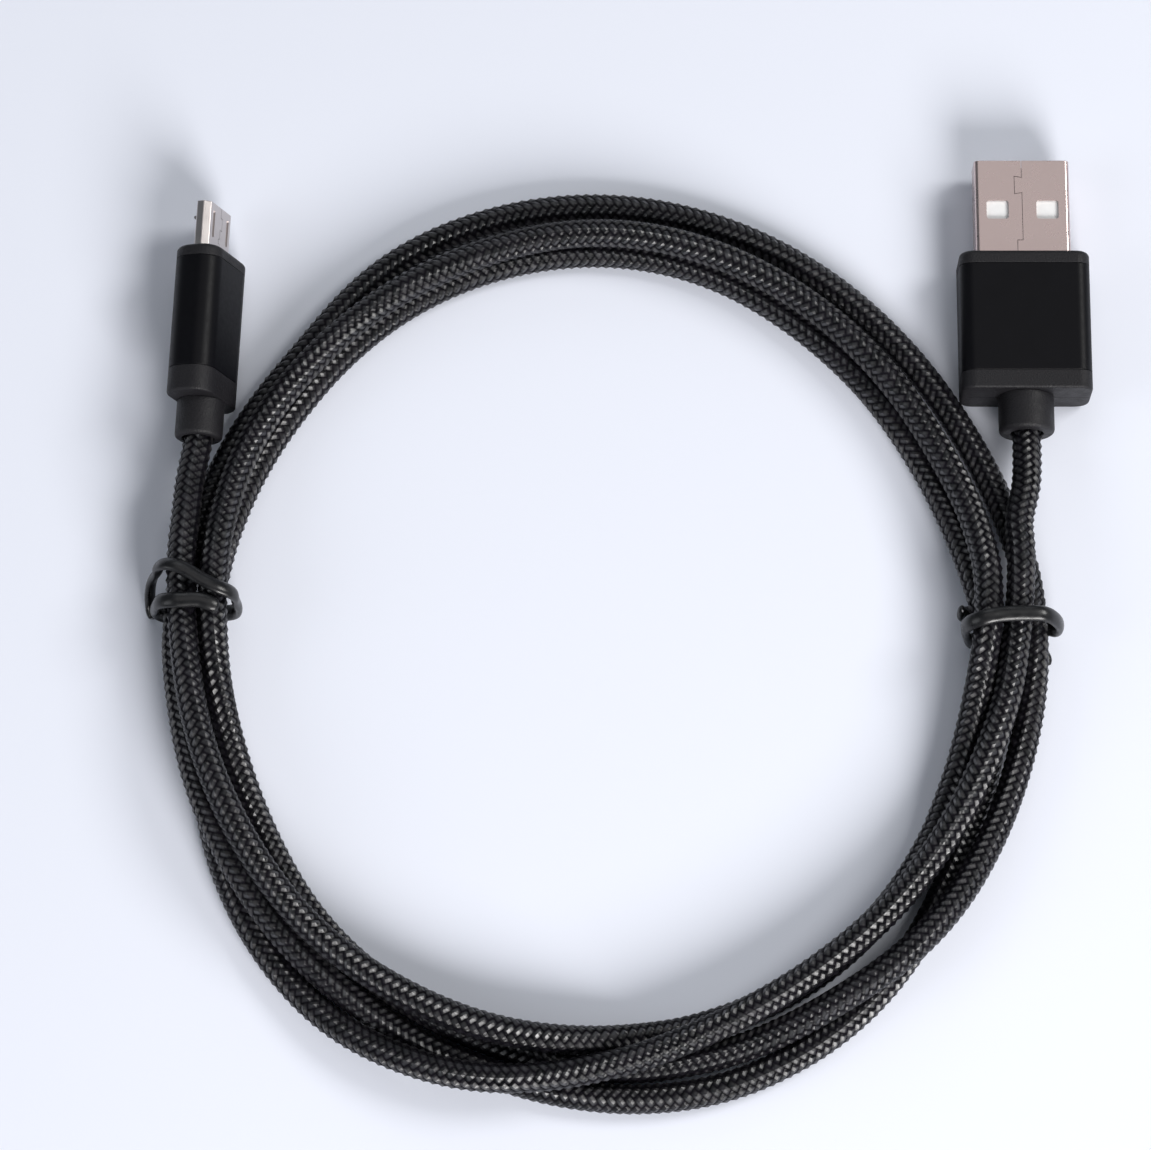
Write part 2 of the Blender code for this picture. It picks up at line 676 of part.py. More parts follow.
def add_micro_shell(finish, plug):
    tail, tip = (y * MM for y in MICRO_SPANS["shell"])
    outer, inner = micro_outline(0), micro_outline(MICRO_SHELL_WALL)
    rings = [
        [Vector((x, y, z)) for x, z in outline]
        for outline, y in ((outer, tail), (outer, tip), (inner, tip), (inner, tail))
    ]
    points, faces = along_y(rings, wrap=True)
    shell = add_mesh("micro_shell", points, faces, finish, plug)
    for side in (-1, 1):
        low = (side * MICRO_LATCH_X - 0.4 * MM, 26.9 * MM, -1.4 * MM)
        high = (side * MICRO_LATCH_X + 0.4 * MM, 29.3 * MM, -0.5 * MM)
        cut(shell, add_box(f"latch_cutter_{side}", low, high, finish, plug))


def hinge_frame(name, spot):
    """An empty on a spring's axis in the micro plug, so that the spring's own origin is there."""
    return add_frame(name, MICRO_FRAME @ Vector(spot), MICRO_FRAME.to_3x3().to_4x4())


def add_micro_springs(gold, steel):
    """Five contact springs under the insulator's plate, and two latch springs along the wide wall."""
    for number in range(1, 6):
        x = (number - 3) * MICRO_CONTACT_PITCH
        hinge = hinge_frame(f"micro_contact_{number}_hinge", (x, *MICRO_CONTACT_HINGE))
        low, high = (-0.2 * MM, -0.2 * MM, -0.075 * MM), (0.2 * MM, 4.4 * MM, 0.075 * MM)
        add_box(f"micro_contact_{number}", low, high, gold, hinge)
    strip = (
        (-0.2, -0.125),
        (2.9, -0.125),
        (3.5, -0.95),
        (3.8, -0.95),
        (3.9, -0.125),
        (4.2, -0.125),
        (4.2, 0.125),
        (-0.2, 0.125),
    )
    for side, label in ((-1, "left"), (1, "right")):
        hinge = hinge_frame(f"micro_latch_{label}_hinge", (side * MICRO_LATCH_X, *MICRO_LATCH_HINGE))
        profile = [(y * MM, z * MM) for y, z in strip]
        add_side_profile(f"micro_latch_{label}", profile, 0.22 * MM, steel, hinge)


def add_micro_plug():
    plug = add_frame("micro_plug_frame", (0, 0, 0), MICRO_FRAME)
    steel = material("bright_nickel", (0.55, 0.53, 0.50), 0.22, 1.0)
    gold = material("gold_contact", (0.75, 0.55, 0.22), 0.25, 1.0)
    black = material("black_nylon", (0.02, 0.02, 0.02), 0.5)
    body = rounded_rectangle(MICRO_WIDTH, MICRO_HEIGHT, MICRO_CORNER)
    thinner = 2 * MICRO_WALL
    hollow = rounded_rectangle(MICRO_WIDTH - thinner, MICRO_HEIGHT - thinner, 1.8 * MM)
    room = 2 * SHELL_CLEARANCE
    around_shell = rounded_rectangle(
        MICRO_SHELL_WIDTH + room, MICRO_SHELL_HEIGHT + room, SHELL_CLEARANCE
    )
    add_housing("micro", plug, body, hollow, around_shell, MICRO_RELIEF_RADIUS, MICRO_SPANS)
    mould = rounded_rectangle(8.4 * MM, 4.2 * MM, 1.4 * MM)
    channel = rounded_rectangle(4.4 * MM, 1.6 * MM, 0.3 * MM)
    add_inside("micro", plug, 2.4 * MM, steel, mould, channel, MICRO_SPANS)
    spots = [(0.8 * MM * (i - 1.5), 0.8 * MM * (i - 1.5)) for i in range(4)]
    add_wires("micro", spots, MICRO_SPANS["wires"], 0.3 * MM, plug)
    add_micro_shell(steel, plug)
    seat = ((20.8, -0.6), (24.6, -0.6), (24.6, 0.42), (30.2, 0.42), (30.2, 0.6), (20.8, 0.6))
    profile = [(y * MM, z * MM) for y, z in seat]
    add_side_profile("micro_insulator", profile, 2.2 * MM, black, plug)
    add_micro_springs(gold, steel)


def main():
    clear_scene()
    route = settle_coil()
    add_cords(route)
    add_tie("left_tie", LEFT_TIE, LEFT_TIE_POINTS, route)
    add_tie("right_tie", RIGHT_TIE, RIGHT_TIE_POINTS, route)
    add_usb_a_plug()
    add_micro_plug()


main()
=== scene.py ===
"""The looks of a coiled, braided charging cable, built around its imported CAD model.

Lengths in the constants are in millimetres where a name or comment says so, and the scene is in metres.
"""

import json
import math

import bmesh
import bpy
import numpy as np
from mathutils import Matrix, Vector


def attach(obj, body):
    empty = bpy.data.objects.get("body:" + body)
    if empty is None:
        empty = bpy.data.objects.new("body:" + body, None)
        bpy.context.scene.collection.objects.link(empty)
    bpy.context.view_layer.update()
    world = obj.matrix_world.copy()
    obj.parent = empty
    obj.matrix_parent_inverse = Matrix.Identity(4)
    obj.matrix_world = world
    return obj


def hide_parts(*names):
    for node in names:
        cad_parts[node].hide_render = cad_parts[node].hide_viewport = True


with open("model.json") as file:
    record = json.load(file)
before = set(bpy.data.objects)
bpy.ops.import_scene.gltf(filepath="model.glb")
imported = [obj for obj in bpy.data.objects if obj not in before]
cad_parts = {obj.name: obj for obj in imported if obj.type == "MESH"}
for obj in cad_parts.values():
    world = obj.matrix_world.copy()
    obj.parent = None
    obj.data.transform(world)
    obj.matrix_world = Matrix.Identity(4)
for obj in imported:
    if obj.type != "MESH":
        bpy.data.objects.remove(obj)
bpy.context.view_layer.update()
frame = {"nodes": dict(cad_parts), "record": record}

MM = 0.001

# The camera looks down at the table from in front.
CAMERA_AIM = Vector((-5.6, -20.25, 0)) * MM
CAMERA_DISTANCE = 620 * MM
CAMERA_ELEVATION = math.radians(74)
CAMERA_LENS, CAMERA_SENSOR = 155.1, 36.0
CAMERA_CLIP = 0.01, 10

# The cord's route, in the words of the CAD model. Heights and radii are in millimetres, angles in degrees.
CORD_NODES = ("cord_coil", "micro_tail", "usb_a_tail")
CORD_DIAMETER = 3.6
COIL_CENTRE = Vector((-1.8 * MM, -29.7 * MM, 0))
# The coil's radius every 15 degrees from FIRST_ANGLE on, one row for each turn.
FIRST_ANGLE = 165
STATION_STEP = 15
TURN_RADII = (
    (54.0, 52.0, 51.5, 51.5, 51.5, 51.0, 51.0, 50.5, 49.5, 49.0, 48.0, 47.0)
    + (46.5, 47.0, 48.0, 48.0, 49.0, 50.5, 52.0, 53.0, 52.5, 52.0, 51.5, 51.0),
    (49.5, 48.5, 48.0, 48.5, 50.0, 51.0, 52.0, 53.0, 53.5, 53.5, 54.0, 53.5)
    + (53.0, 53.0, 52.5, 52.5, 53.5, 55.0, 56.5, 57.5, 57.5, 56.5, 53.5, 53.0),
    (52.5, 52.5, 53.0, 53.5, 54.5, 55.0, 55.5, 57.0, 57.5, 56.0, 53.5, 50.5)
    + (49.0, 47.5, 46.0, 46.0, 47.0, 48.5, 50.5, 51.5, 51.5, 51.0, 50.0, 49.5),
    (49.5, 50.0, 51.5, 54.5, 57.0, 58.0, 57.0, 53.5, 50.5, 49.0, 48.5, 48.5, 49.0, 50.5, 53.0),
)
# Which pass of the cord lies on which, from the top down, every 15 degrees from 0.
STACK = (
    ("4123",) * 2
    + ("123",) * 8
    + ("0123",) * 3
    + ("0213",) * 4
    + ("3021",) * 3
    + ("3012",) * 4
)
# How the coil settles: the step between its points, then each round's sinking, and the shares by which a
# point moves to its neighbours' middle and back to its wanted radius.
SETTLE_STEP = 2.5
SETTLE_ROUNDS = 600
SMOOTHINGS, PUSHES = 3, 4
SINK, SPREAD, PULL_BACK = 0.03, 0.25, 0.06
# The spacing of settled passes, in cord diameters.
CORD_SPACING = 1.03
# A point of the cord between the coil and each plug, and how far the cord runs into each plug.
MICRO_TAIL = (-51.8, 19.8, 6.1)
USB_A_TAIL = (52.4, 20.0, 5.3)
MICRO_CORD_END, USB_A_CORD_END = 11.2, 11.0

# The twist ties, placed as the CAD model places them. A tie's points are outward, along the cord and up,
# from the spot under its middle.
TIE_HALF_WIDTH, TIE_HALF_THICKNESS = 1.0, 0.55
TIE_LIFT, TIE_LIFT_TOP, TIE_LIFT_REACH = 2.2, 5.2, 18.2
TIE_CLEARANCE = 0.5
TIE_POINT_SPACING = 1.1
TIE_RING_SPACING, TIE_SIDES = 0.4, 24
TIE_TAPER_RINGS, TIE_BLUNTNESS = 4, 0.15
LEFT_TIE = {"angle": 172, "radius": 51.0}
RIGHT_TIE = {"angle": 364, "radius": 49.5}
LEFT_TIE_POINTS = (
    (5.5, 4.4, 1.0),
    (5.8, 3.0, 1.2),
    (6.0, 2.0, 2.4),
    (5.8, 0.5, 4.5),
    (4.7, -0.2, 7.2),
    (3.1, -0.4, 9.0),
    (1.1, 0.1, 9.8),
    (-0.9, 1.0, 10.0),
    (-2.9, 1.7, 9.6),
    (-4.4, 1.9, 8.0),
    (-5.2, 2.2, 5.5),
    (-4.9, 2.4, 2.6),
    (-2.7, 2.5, 0.7),
    (-0.1, 3.0, 0.7),
    (2.5, 3.5, 0.7),
    (3.8, 3.9, 1.5),
    (4.3, 4.0, 4.0),
    (3.3, 4.3, 7.0),
    (1.8, 4.2, 9.2),
    (0.3, 3.9, 10.1),
    (-1.0, 3.7, 10.2),
    (-2.2, 3.9, 10.0),
    (-3.2, 4.2, 9.4),
)
RIGHT_TIE_POINTS = (
    (-4.9, 0.4, 4.6),
    (-4.5, 0.6, 2.4),
    (-3.2, 1.1, 0.7),
    (0.0, 0.6, 0.7),
    (3.4, -0.5, 0.7),
    (6.2, -2.3, 3.0),
    (6.1, -2.5, 7.2),
    (4.3, -2.1, 9.8),
    (1.6, -1.9, 10.2),
    (-1.2, -1.9, 10.2),
    (-3.6, -2.3, 9.4),
    (-4.9, -2.6, 6.8),
    (-4.9, -2.8, 4.0),
    (-4.2, -2.7, 1.4),
    (-2.0, -2.2, 0.7),
    (2.0, -3.4, 0.7),
    (4.4, -4.8, 0.7),
    (5.0, -6.3, 0.7),
)

# The plugs' places: the end of each strain relief, and for the micro-USB plug its lean and roll.
USB_A_FRAME = Matrix.Translation(COIL_CENTRE + Vector((52.7, 26.1, 4.1)) * MM)
MICRO_LEAN, MICRO_ROLL = math.radians(-2.8), math.radians(68)
MICRO_FRAME = (
    Matrix.Translation(COIL_CENTRE + Vector((-50.9, 25.5, 5.45)) * MM)
    @ Matrix.Rotation(MICRO_LEAN, 4, "Z")
    @ Matrix.Rotation(MICRO_ROLL, 4, "Y")
)

# The braid: eight carriers run each way, and each passes over two and under two.
CARRIERS = 8
BRAID_PITCH = 1.14
BRAID_CROWN, BRAID_SHOULDER, BRAID_GROOVE = 0.09, 0.0, -0.15
# Slow turns of the braid about the cord: each one's size in radians, its length along the cord and its start.
BRAID_TURNS = ((0.5, 41, 0), (0.35, 17, 1))
# The tone of each float is picked from this many, by steps that leave no pattern, and shifts its noise too.
TONES, TONE_SEED = 8192, 3
CARRIER_STEP, FLOAT_STEP = 977, 31
TONE_SHIFT_ALONG, TONE_SHIFT_ACROSS = 60, 90

# The plugs' sizes in millimetres. Along each plug, y runs from the strain relief's end to the tip.
CORNER_STEPS, EDGE_STEPS = 8, 4
SHELL_CORNER_STEPS, HOLE_CORNER_STEPS = 6, 4
# Edges of the metal shells and inner pieces that bend more than this many degrees stay sharp.
SHARP = 30
BORE_RADIUS, SLEEVE_WALL, LEAST_CORNER = 2.05, 0.75, 0.3
USB_A_HOUSING = {
    "size": (16.4, 8.2, 1.8),
    "relief_radius": 3.5,
    "relief": (0.5, 5.3),
    "rear": (5.35, 7.74),
    "middle": (7.78, 21.86),
    "front": (21.9, 23.6),
    "shell_hole": (12.2, 4.7, 0.7),
}
MICRO_HOUSING = {
    "size": (10.8, 6.2, 2.5),
    "relief_radius": 3.0,
    "relief": (0.0, 4.8),
    "rear": (4.85, 8.14),
    "middle": (8.18, 22.66),
    "front": (22.7, 24.2),
    "shell_hole": (7.1, 2.1, 0.3),
}
MOULD_LINE_HALF_WIDTH, MOULD_LINE_DEPTH = 0.035, 0.05

# The metal shells: the seam of each folded sheet is a path in x, y, and so are the holes' places.
USB_A_SHELL, USB_A_SHELL_WALL = (12.0, 4.5, 0.6), 0.3
USB_A_SHELL_SPAN = (17.6, 36.2)
USB_A_SEAM = (
    (-0.05, 36.7),
    (-0.05, 33.9),
    (-0.98, 34.05),
    (-0.98, 31.7),
    (-0.03, 31.85),
    (-0.03, 25.5),
    (-0.72, 25.5),
    (-0.72, 17.0),
)
USB_A_SEAM_WIDTH = 0.075
USB_A_WINDOW, USB_A_WINDOW_X, USB_A_WINDOW_Y = (2.8, 2.5, 0.35), 3.15, 29.6
# Profiles are in y, z. The tongue runs along the whole shell, and a spring's or hook's starts at its hinge.
USB_A_TONGUE = ((18, -1.85), (24.5, -1.85), (24.5, -0.05), (35.4, -0.05), (35.4, 1.85), (18, 1.85))
USB_A_TONGUE_HALF_WIDTH = 5.5
USB_A_CONTACTS = {-3.5: 7.4, -1.0: 6.4, 1.0: 6.4, 3.5: 7.4}
USB_A_CONTACT_START = 26.8
MICRO_SHELL_CORNERS = (
    (3.425, 0.1, 0.25),
    (2.75, 0.925, 0.25),
    (-2.75, 0.925, 0.25),
    (-3.425, 0.1, 0.25),
    (-3.425, -0.925, 0.3),
    (3.425, -0.925, 0.3),
)
MICRO_SHELL_WALL, MICRO_SHELL_SPAN = 0.25, (20.5, 30.6)
MICRO_SEAM = (
    (0.0, 31.0),
    (0.0, 29.2),
    (0.42, 29.32),
    (0.42, 27.6),
    (0.0, 27.72),
    (0.0, 26.4),
    (-0.3, 26.4),
    (-0.3, 25.8),
    (0.0, 25.8),
    (0.0, 20.0),
)
MICRO_SEAM_WIDTH = 0.06
MICRO_SLOT, MICRO_SLOT_X, MICRO_SLOT_Y = (0.55, 3.5, 0.25), 1.9, 27.85
MICRO_LATCH_WINDOW, MICRO_LATCH_WINDOW_HALF_WIDTH = (26.9, 29.3), 0.4
MICRO_SEAT = ((20.8, -0.6), (24.6, -0.6), (24.6, 0.42), (30.2, 0.42), (30.2, 0.6), (20.8, 0.6))
MICRO_SPRING = ((-0.2, -0.075), (4.2, -0.075), (4.4, 0.0), (4.4, 0.075), (-0.2, 0.075))
MICRO_HOOK = (
    (-0.2, -0.125),
    (2.9, -0.125),
    (3.1, -0.45),
    (3.5, -0.92),
    (3.62, -0.98),
    (3.8, -0.95),
    (3.9, -0.125),
    (4.2, -0.125),
    (4.2, 0.125),
    (-0.2, 0.125),
)
MICRO_SEAT_HALF_WIDTH, MICRO_SPRING_HALF_WIDTH, MICRO_HOOK_HALF_WIDTH = 2.2, 0.2, 0.22
MICRO_HINGE_Y = 25.0
MICRO_CONTACTS, MICRO_CONTACT_PITCH, MICRO_CONTACT_Z = 5, 0.65, 0.075
MICRO_LATCH_X, MICRO_LATCH_Z = 2.55, -0.5

# The room, in metres: each lamp has a place, a size, a power and a colour.
TABLE_HALF = 1.5
LAMPS = {
    "front": ((0.35, -0.80, 0.50), 0.5, 11.5, (1.0, 0.98, 0.97)),
    "right": ((0.75, 0.25, 0.75), 0.45, 4.8, (1.0, 0.99, 0.97)),
    "left": ((-0.85, -0.25, 0.55), 0.6, 1.8, (0.94, 0.96, 1.0)),
    "back": ((-0.05, 0.95, 0.60), 0.6, 1.0, (0.95, 0.97, 1.0)),
    "above": ((0.0, 0.35, 1.1), 0.8, 1.0, (1.0, 0.96, 0.95)),
}
CEILING_COLOUR, CEILING_STRENGTH = (0.82, 0.91, 1.0, 1), 0.13


# ---------------------------------------------------------------- camera


def add_camera():
    """The camera, at its distance from the aim and its angle above the table."""
    data = bpy.data.cameras.new("camera")
    data.sensor_width, data.lens = CAMERA_SENSOR, CAMERA_LENS
    camera = bpy.data.objects.new("camera", data)
    bpy.context.scene.collection.objects.link(camera)
    back = Vector((0, -math.cos(CAMERA_ELEVATION), math.sin(CAMERA_ELEVATION)))
    camera.location = CAMERA_AIM + back * CAMERA_DISTANCE
    camera.rotation_mode = "QUATERNION"
    camera.rotation_quaternion = (-back).to_track_quat("-Z", "Y")
    data.clip_start, data.clip_end = CAMERA_CLIP
    bpy.context.scene.camera = camera


# ---------------------------------------------------------------- materials


class Finish:
    """A material in the making: its shader, and short ways to add and link nodes."""

    def __init__(self, name, colour, roughness, metallic=0.0):
        self.material = bpy.data.materials.new(name)
        self.material.use_nodes = True
        self.tree = self.material.node_tree
        self.shader = self.tree.nodes["Principled BSDF"]
        self.set("Base Color", (*colour, 1))
        self.set("Roughness", roughness)
        self.set("Metallic", metallic)

    def set(self, socket, value):
        self.shader.inputs[socket].default_value = value

    def node(self, kind, links=(), **settings):
        """A node with these input values, fed by links of (input, output socket)."""
        made = self.tree.nodes.new("ShaderNode" + kind)
        for name, value in settings.items():
            if name in made.inputs.keys():
                made.inputs[name].default_value = value
            else:
                setattr(made, name, value)
        for name, output in links:
            self.tree.links.new(output, made.inputs[name])
        return made

    def coordinates(self, scale=(1, 1, 1), turn=None, output="Object"):
        """Object coordinates, stretched, and turned first where a plug's own axes are wanted."""
        source = self.node("TexCoord").outputs[output]
        if turn is not None:
            source = self.node("Mapping", [("Vector", source)], Rotation=turn).outputs[0]
        return self.node("Mapping", [("Vector", source)], Scale=scale).outputs[0]

    def noise(self, vector, scale, detail=3.0, roughness=0.5):
        return self.node(
            "TexNoise", [("Vector", vector)], Scale=scale, Detail=detail, Roughness=roughness
        ).outputs["Fac"]

    def spread(self, value, low, high, start=0.3, end=0.7):
        """The value, mapped from start..end to low..high."""
        made = self.node("MapRange", [("Value", value)])
        for name, number in zip(("From Min", "From Max", "To Min", "To Max"), (start, end, low, high)):
            made.inputs[name].default_value = number
        return made.outputs[0]

    def blend(self, value, first, second):
        """A colour between two, by value."""
        made = self.node("Mix", data_type="RGBA")
        self.tree.links.new(value, made.inputs["Factor"])
        made.inputs[6].default_value = (*first, 1)
        made.inputs[7].default_value = (*second, 1)
        return made.outputs[2]

    def feed(self, socket, output):
        self.tree.links.new(output, self.shader.inputs[socket])

    def bump(self, height, distance, strength=1.0, after=None):
        links = [("Height", height)]
        if after is not None:
            links.append(("Normal", after))
        made = self.node("Bump", links, Distance=distance, Strength=strength)
        self.feed("Normal", made.outputs[0])
        return made.outputs[0]


def braid_finish():
    """Black nylon yarn. The map's U runs along a yarn and its V across, one unit to a crossing.

    A yarn bows up where it floats. On top of that, a painted highlight raises the specular level round the
    middle of each float, and a painted shade lowers it at the float's ends and sides.
    """
    finish = Finish("braided_nylon", (0.005, 0.005, 0.006), 0.38)
    finish.set("Anisotropic", 0.7)
    finish.set("Anisotropic Rotation", 0.25)
    tangent = finish.node("Tangent", direction_type="UV_MAP", uv_map="yarns")
    finish.feed("Tangent", tangent.outputs[0])
    tone = finish.node("Attribute", attribute_name="float_tone").outputs["Fac"]
    finish.feed("Base Color", finish.blend(tone, (0.003, 0.003, 0.004), (0.008, 0.007, 0.010)))
    finish.feed("Roughness", finish.spread(tone, 0.34, 0.44, 0, 1))
    spot = finish.node("UVMap", uv_map="float_place").outputs[0]
    spot = finish.node("SeparateXYZ", [("Vector", spot)]).outputs
    from_middle = finish.node("Math", [(0, spot["X"])], operation="ABSOLUTE").outputs[0]
    from_centre = finish.node("Math", [(0, spot["Y"])], operation="ABSOLUTE").outputs[0]
    lengthwise = finish.spread(from_middle, 1, 0, 0.35, 0.85)
    sideways = finish.spread(from_centre, 1, 0.2, 0.25, 0.5)
    # Painted highlight and shade: the specular level is high round each float's middle and low at its ends
    # and sides.
    painted_shine_mask = finish.node("Math", [(0, lengthwise), (1, sideways)], operation="MULTIPLY").outputs[0]
    finish.feed("Specular IOR Level", finish.spread(painted_shine_mask, 0.03, 1.0, 0, 1))
    strands = finish.coordinates((1.1, 6, 1), output="UV")
    finish.bump(finish.noise(strands, 1.0, 2.0), 0.03 * MM, 0.5)
    return finish.material


def vinyl_finish():
    """Soft black vinyl with a slightly uneven gloss."""
    finish = Finish("tie_vinyl", (0.006, 0.006, 0.007), 0.3)
    finish.set("Specular IOR Level", 0.5)
    spots = finish.coordinates()
    wear = finish.noise(spots, 900, 4)
    finish.feed("Roughness", finish.spread(wear, 0.24, 0.42))
    swell = finish.noise(spots, 350, 2)
    first = finish.bump(swell, 0.12 * MM, 0.6)
    finish.bump(finish.noise(spots, 6000, 3), 0.01 * MM, 0.5, after=first)
    return finish.material


def textured_finish():
    """Moulded plastic with a fine spark-eroded grain."""
    finish = Finish("textured_plastic", (0.008, 0.008, 0.010), 0.5)
    finish.set("Specular IOR Level", 0.34)
    spots = finish.coordinates()
    cells = finish.node(
        "TexVoronoi", [("Vector", spots)], Scale=5200.0, feature="SMOOTH_F1", Smoothness=0.6
    ).outputs["Distance"]
    grain = finish.noise(spots, 9000, 3, 0.6)
    finish.feed("Base Color", finish.blend(grain, (0.003, 0.003, 0.004), (0.014, 0.013, 0.016)))
    finish.feed("Roughness", finish.spread(finish.noise(spots, 700), 0.48, 0.62))
    first = finish.bump(cells, 0.05 * MM, 0.8)
    finish.bump(grain, 0.02 * MM, 0.6, after=first)
    return finish.material


def satin_finish():
    """Satin black lacquer on an aluminium sleeve."""
    finish = Finish("satin_black", (0.002, 0.002, 0.003), 0.42)
    finish.set("Specular IOR Level", 0.15)
    spots = finish.coordinates()
    cloud = finish.noise(spots, 260, 3)
    finish.feed("Base Color", finish.blend(cloud, (0.0015, 0.0015, 0.0025), (0.003, 0.003, 0.0045)))
    finish.feed("Roughness", finish.spread(finish.noise(spots, 1800, 4), 0.38, 0.46))
    finish.bump(finish.noise(spots, 14000, 2), 0.006 * MM, 0.5)
    return finish.material


def nickel_finish(name, colour, roughness, turn=None):
    """Nickel plate with the fine lines that rolling leaves along the sheet."""
    finish = Finish(name, colour, roughness, 1.0)
    lines = finish.noise(finish.coordinates((9000, 500, 9000), turn), 1.0, 3)
    stains = finish.noise(finish.coordinates(), 700, 3)
    dim = tuple(c * 0.95 for c in colour)
    finish.feed("Base Color", finish.blend(stains, dim, colour))
    finish.feed("Roughness", finish.spread(stains, roughness - 0.03, roughness + 0.05))
    finish.bump(lines, 0.004 * MM, 0.5)
    return finish.material


def plain_finish(name, colour, roughness, metallic=0.0):
    """Moulded or plated small pieces: slight mottling of colour, gloss and surface."""
    finish = Finish(name, colour, roughness, metallic)
    spots = finish.coordinates()
    cloud = finish.noise(spots, 1200, 3)
    finish.feed("Base Color", finish.blend(cloud, tuple(c * 0.88 for c in colour), colour))
    finish.feed("Roughness", finish.spread(cloud, roughness * 0.85, min(roughness * 1.15, 1)))
    finish.bump(finish.noise(spots, 7000, 2), 0.006 * MM, 0.6)
    return finish.material


def make_finishes():
    """Every finish, by the name of its slot."""
    lean = (0, -MICRO_ROLL, -MICRO_LEAN)
    return {
        "braided_nylon": braid_finish(),
        "tie_vinyl": vinyl_finish(),
        "tie_steel": nickel_finish("tie_steel", (0.55, 0.55, 0.56), 0.35),
        "textured_plastic": textured_finish(),
        "satin_black": satin_finish(),
        "satin_nickel": nickel_finish("satin_nickel", (0.66, 0.54, 0.52), 0.28),
        "bright_nickel": nickel_finish("bright_nickel", (0.58, 0.54, 0.53), 0.32, lean),
        "white_plastic": plain_finish("white_plastic", (0.86, 0.86, 0.86), 0.42),
        "black_nylon": plain_finish("black_nylon", (0.02, 0.02, 0.02), 0.5),
        "black_vinyl": plain_finish("black_vinyl", (0.015, 0.015, 0.016), 0.5),
        "gold_contact": plain_finish("gold_contact", (0.83, 0.60, 0.25), 0.22, 1.0),
        "wire_1": plain_finish("wire_1", (0.5, 0.02, 0.02), 0.4),
        "wire_2": plain_finish("wire_2", (0.75, 0.75, 0.72), 0.4),
        "wire_3": plain_finish("wire_3", (0.02, 0.3, 0.05), 0.4),
        "wire_4": plain_finish("wire_4", (0.02, 0.02, 0.02), 0.4),
    }


FINISHES = make_finishes()


# ---------------------------------------------------------------- meshes


def mesh_of(name, points, faces):
    """A mesh with these points, in metres, and faces."""
    mesh = bpy.data.meshes.new(name)
    mesh.from_pydata([tuple(point) for point in points], [], faces)
    mesh.validate()
    return mesh


def bridge(rings, wrap):
    """Quads between rings of points. With wrap the last ring joins the first, else both ends are capped."""
    count = len(rings[0])
    points = [p for ring in rings for p in ring]
    faces = []
    for i in range(len(rings) if wrap else len(rings) - 1):
        low, high = i * count, (i + 1) % len(rings) * count
        for j in range(count):
            k = (j + 1) % count
            faces.append((low + j, low + k, high + k, high + j))
    if not wrap:
        faces.append(tuple(reversed(range(count))))
        faces.append(tuple(range(len(points) - count, len(points))))
    return points, faces


def along_y(rings, wrap):
    """The bridge of rings that run counter-clockwise in x, z, turned so that its faces point out."""
    points, faces = bridge(rings, wrap)
    return points, [tuple(reversed(face)) for face in faces]


def rounded_polygon(corners, steps=CORNER_STEPS):
    """The outline in x, z round convex corners of (x, z, radius), counter-clockwise, for any inset."""

    def outline(inset=0.0):
        points = []
        for n, (x, z, radius) in enumerate(corners):
            before, after = corners[n - 1], corners[(n + 1) % len(corners)]
            into = Vector((x - before[0], z - before[1])).normalized()
            away = Vector((after[0] - x, after[1] - z)).normalized()
            normals = Vector((-into.y, into.x)), Vector((-away.y, away.x))
            middle = (normals[0] + normals[1]).normalized()
            arc = max(radius - inset, 0.02)
            centre = Vector((x, z)) + middle * (inset + arc) / normals[0].dot(middle)
            for step in range(steps + 1):
                points.append(centre - normals[0].slerp(normals[1], step / steps) * arc)
        return points

    return outline


def rounded_rectangle(width, height, corner, steps=CORNER_STEPS):
    x, z = width / 2, height / 2
    return rounded_polygon(((x, z, corner), (-x, z, corner), (-x, -z, corner), (x, -z, corner)), steps)


def circle(radius, count=4 * (CORNER_STEPS + 1)):
    """A round outline, with as many points as a rounded rectangle has."""

    def outline(inset=0.0):
        turns = (2 * math.pi * (step + 0.5) / count for step in range(count))
        return [Vector((math.cos(t), math.sin(t))) * (radius - inset) for t in turns]

    return outline


def ring_at(outline, y, inset=0.0):
    """The outline's points in metres, at one place along the plug."""
    return [Vector((x, y, z)) * MM for x, z in outline(inset)]


def sleeve(name, outer, inner, span, edges, inner_edge=0.05):
    """A tube along Y between two outlines, whose outer edges are rounded and inner edges eased."""
    (y0, y1), (rear_edge, front_edge) = span, edges
    steps = [math.pi / (2 * EDGE_STEPS) * i for i in range(EDGE_STEPS + 1)]
    rings = []
    for t in reversed(steps):
        rings.append(ring_at(outer, y0 + rear_edge * (1 - math.sin(t)), rear_edge * (1 - math.cos(t))))
    for t in steps:
        rings.append(ring_at(outer, y1 - front_edge * (1 - math.sin(t)), front_edge * (1 - math.cos(t))))
    rings.append(ring_at(inner, y1, -inner_edge))
    rings.append(ring_at(inner, y1 - inner_edge))
    rings.append(ring_at(inner, y0 + inner_edge))
    rings.append(ring_at(inner, y0, -inner_edge))
    return mesh_of(name, *along_y(rings, wrap=True))


def prism(name, outline, z0, z1):
    """A solid with this outline in x, y, counter-clockwise, between two heights."""
    rings = [[Vector((x, y, z)) * MM for x, y in outline] for z in (z0, z1)]
    return mesh_of(name, *bridge(rings, wrap=False))


def box(name, low, high):
    (x0, y0, z0), (x1, y1, z1) = low, high
    return prism(name, ((x0, y0), (x1, y0), (x1, y1), (x0, y1)), z0, z1)


def side_profile(name, profile, half_width):
    """A solid with the y, z profile, counter-clockwise seen from +X, on both sides of x = 0."""
    rings = [[Vector((x, y, z)) * MM for y, z in profile] for x in (-half_width, half_width)]
    return mesh_of(name, *bridge(rings, wrap=False))


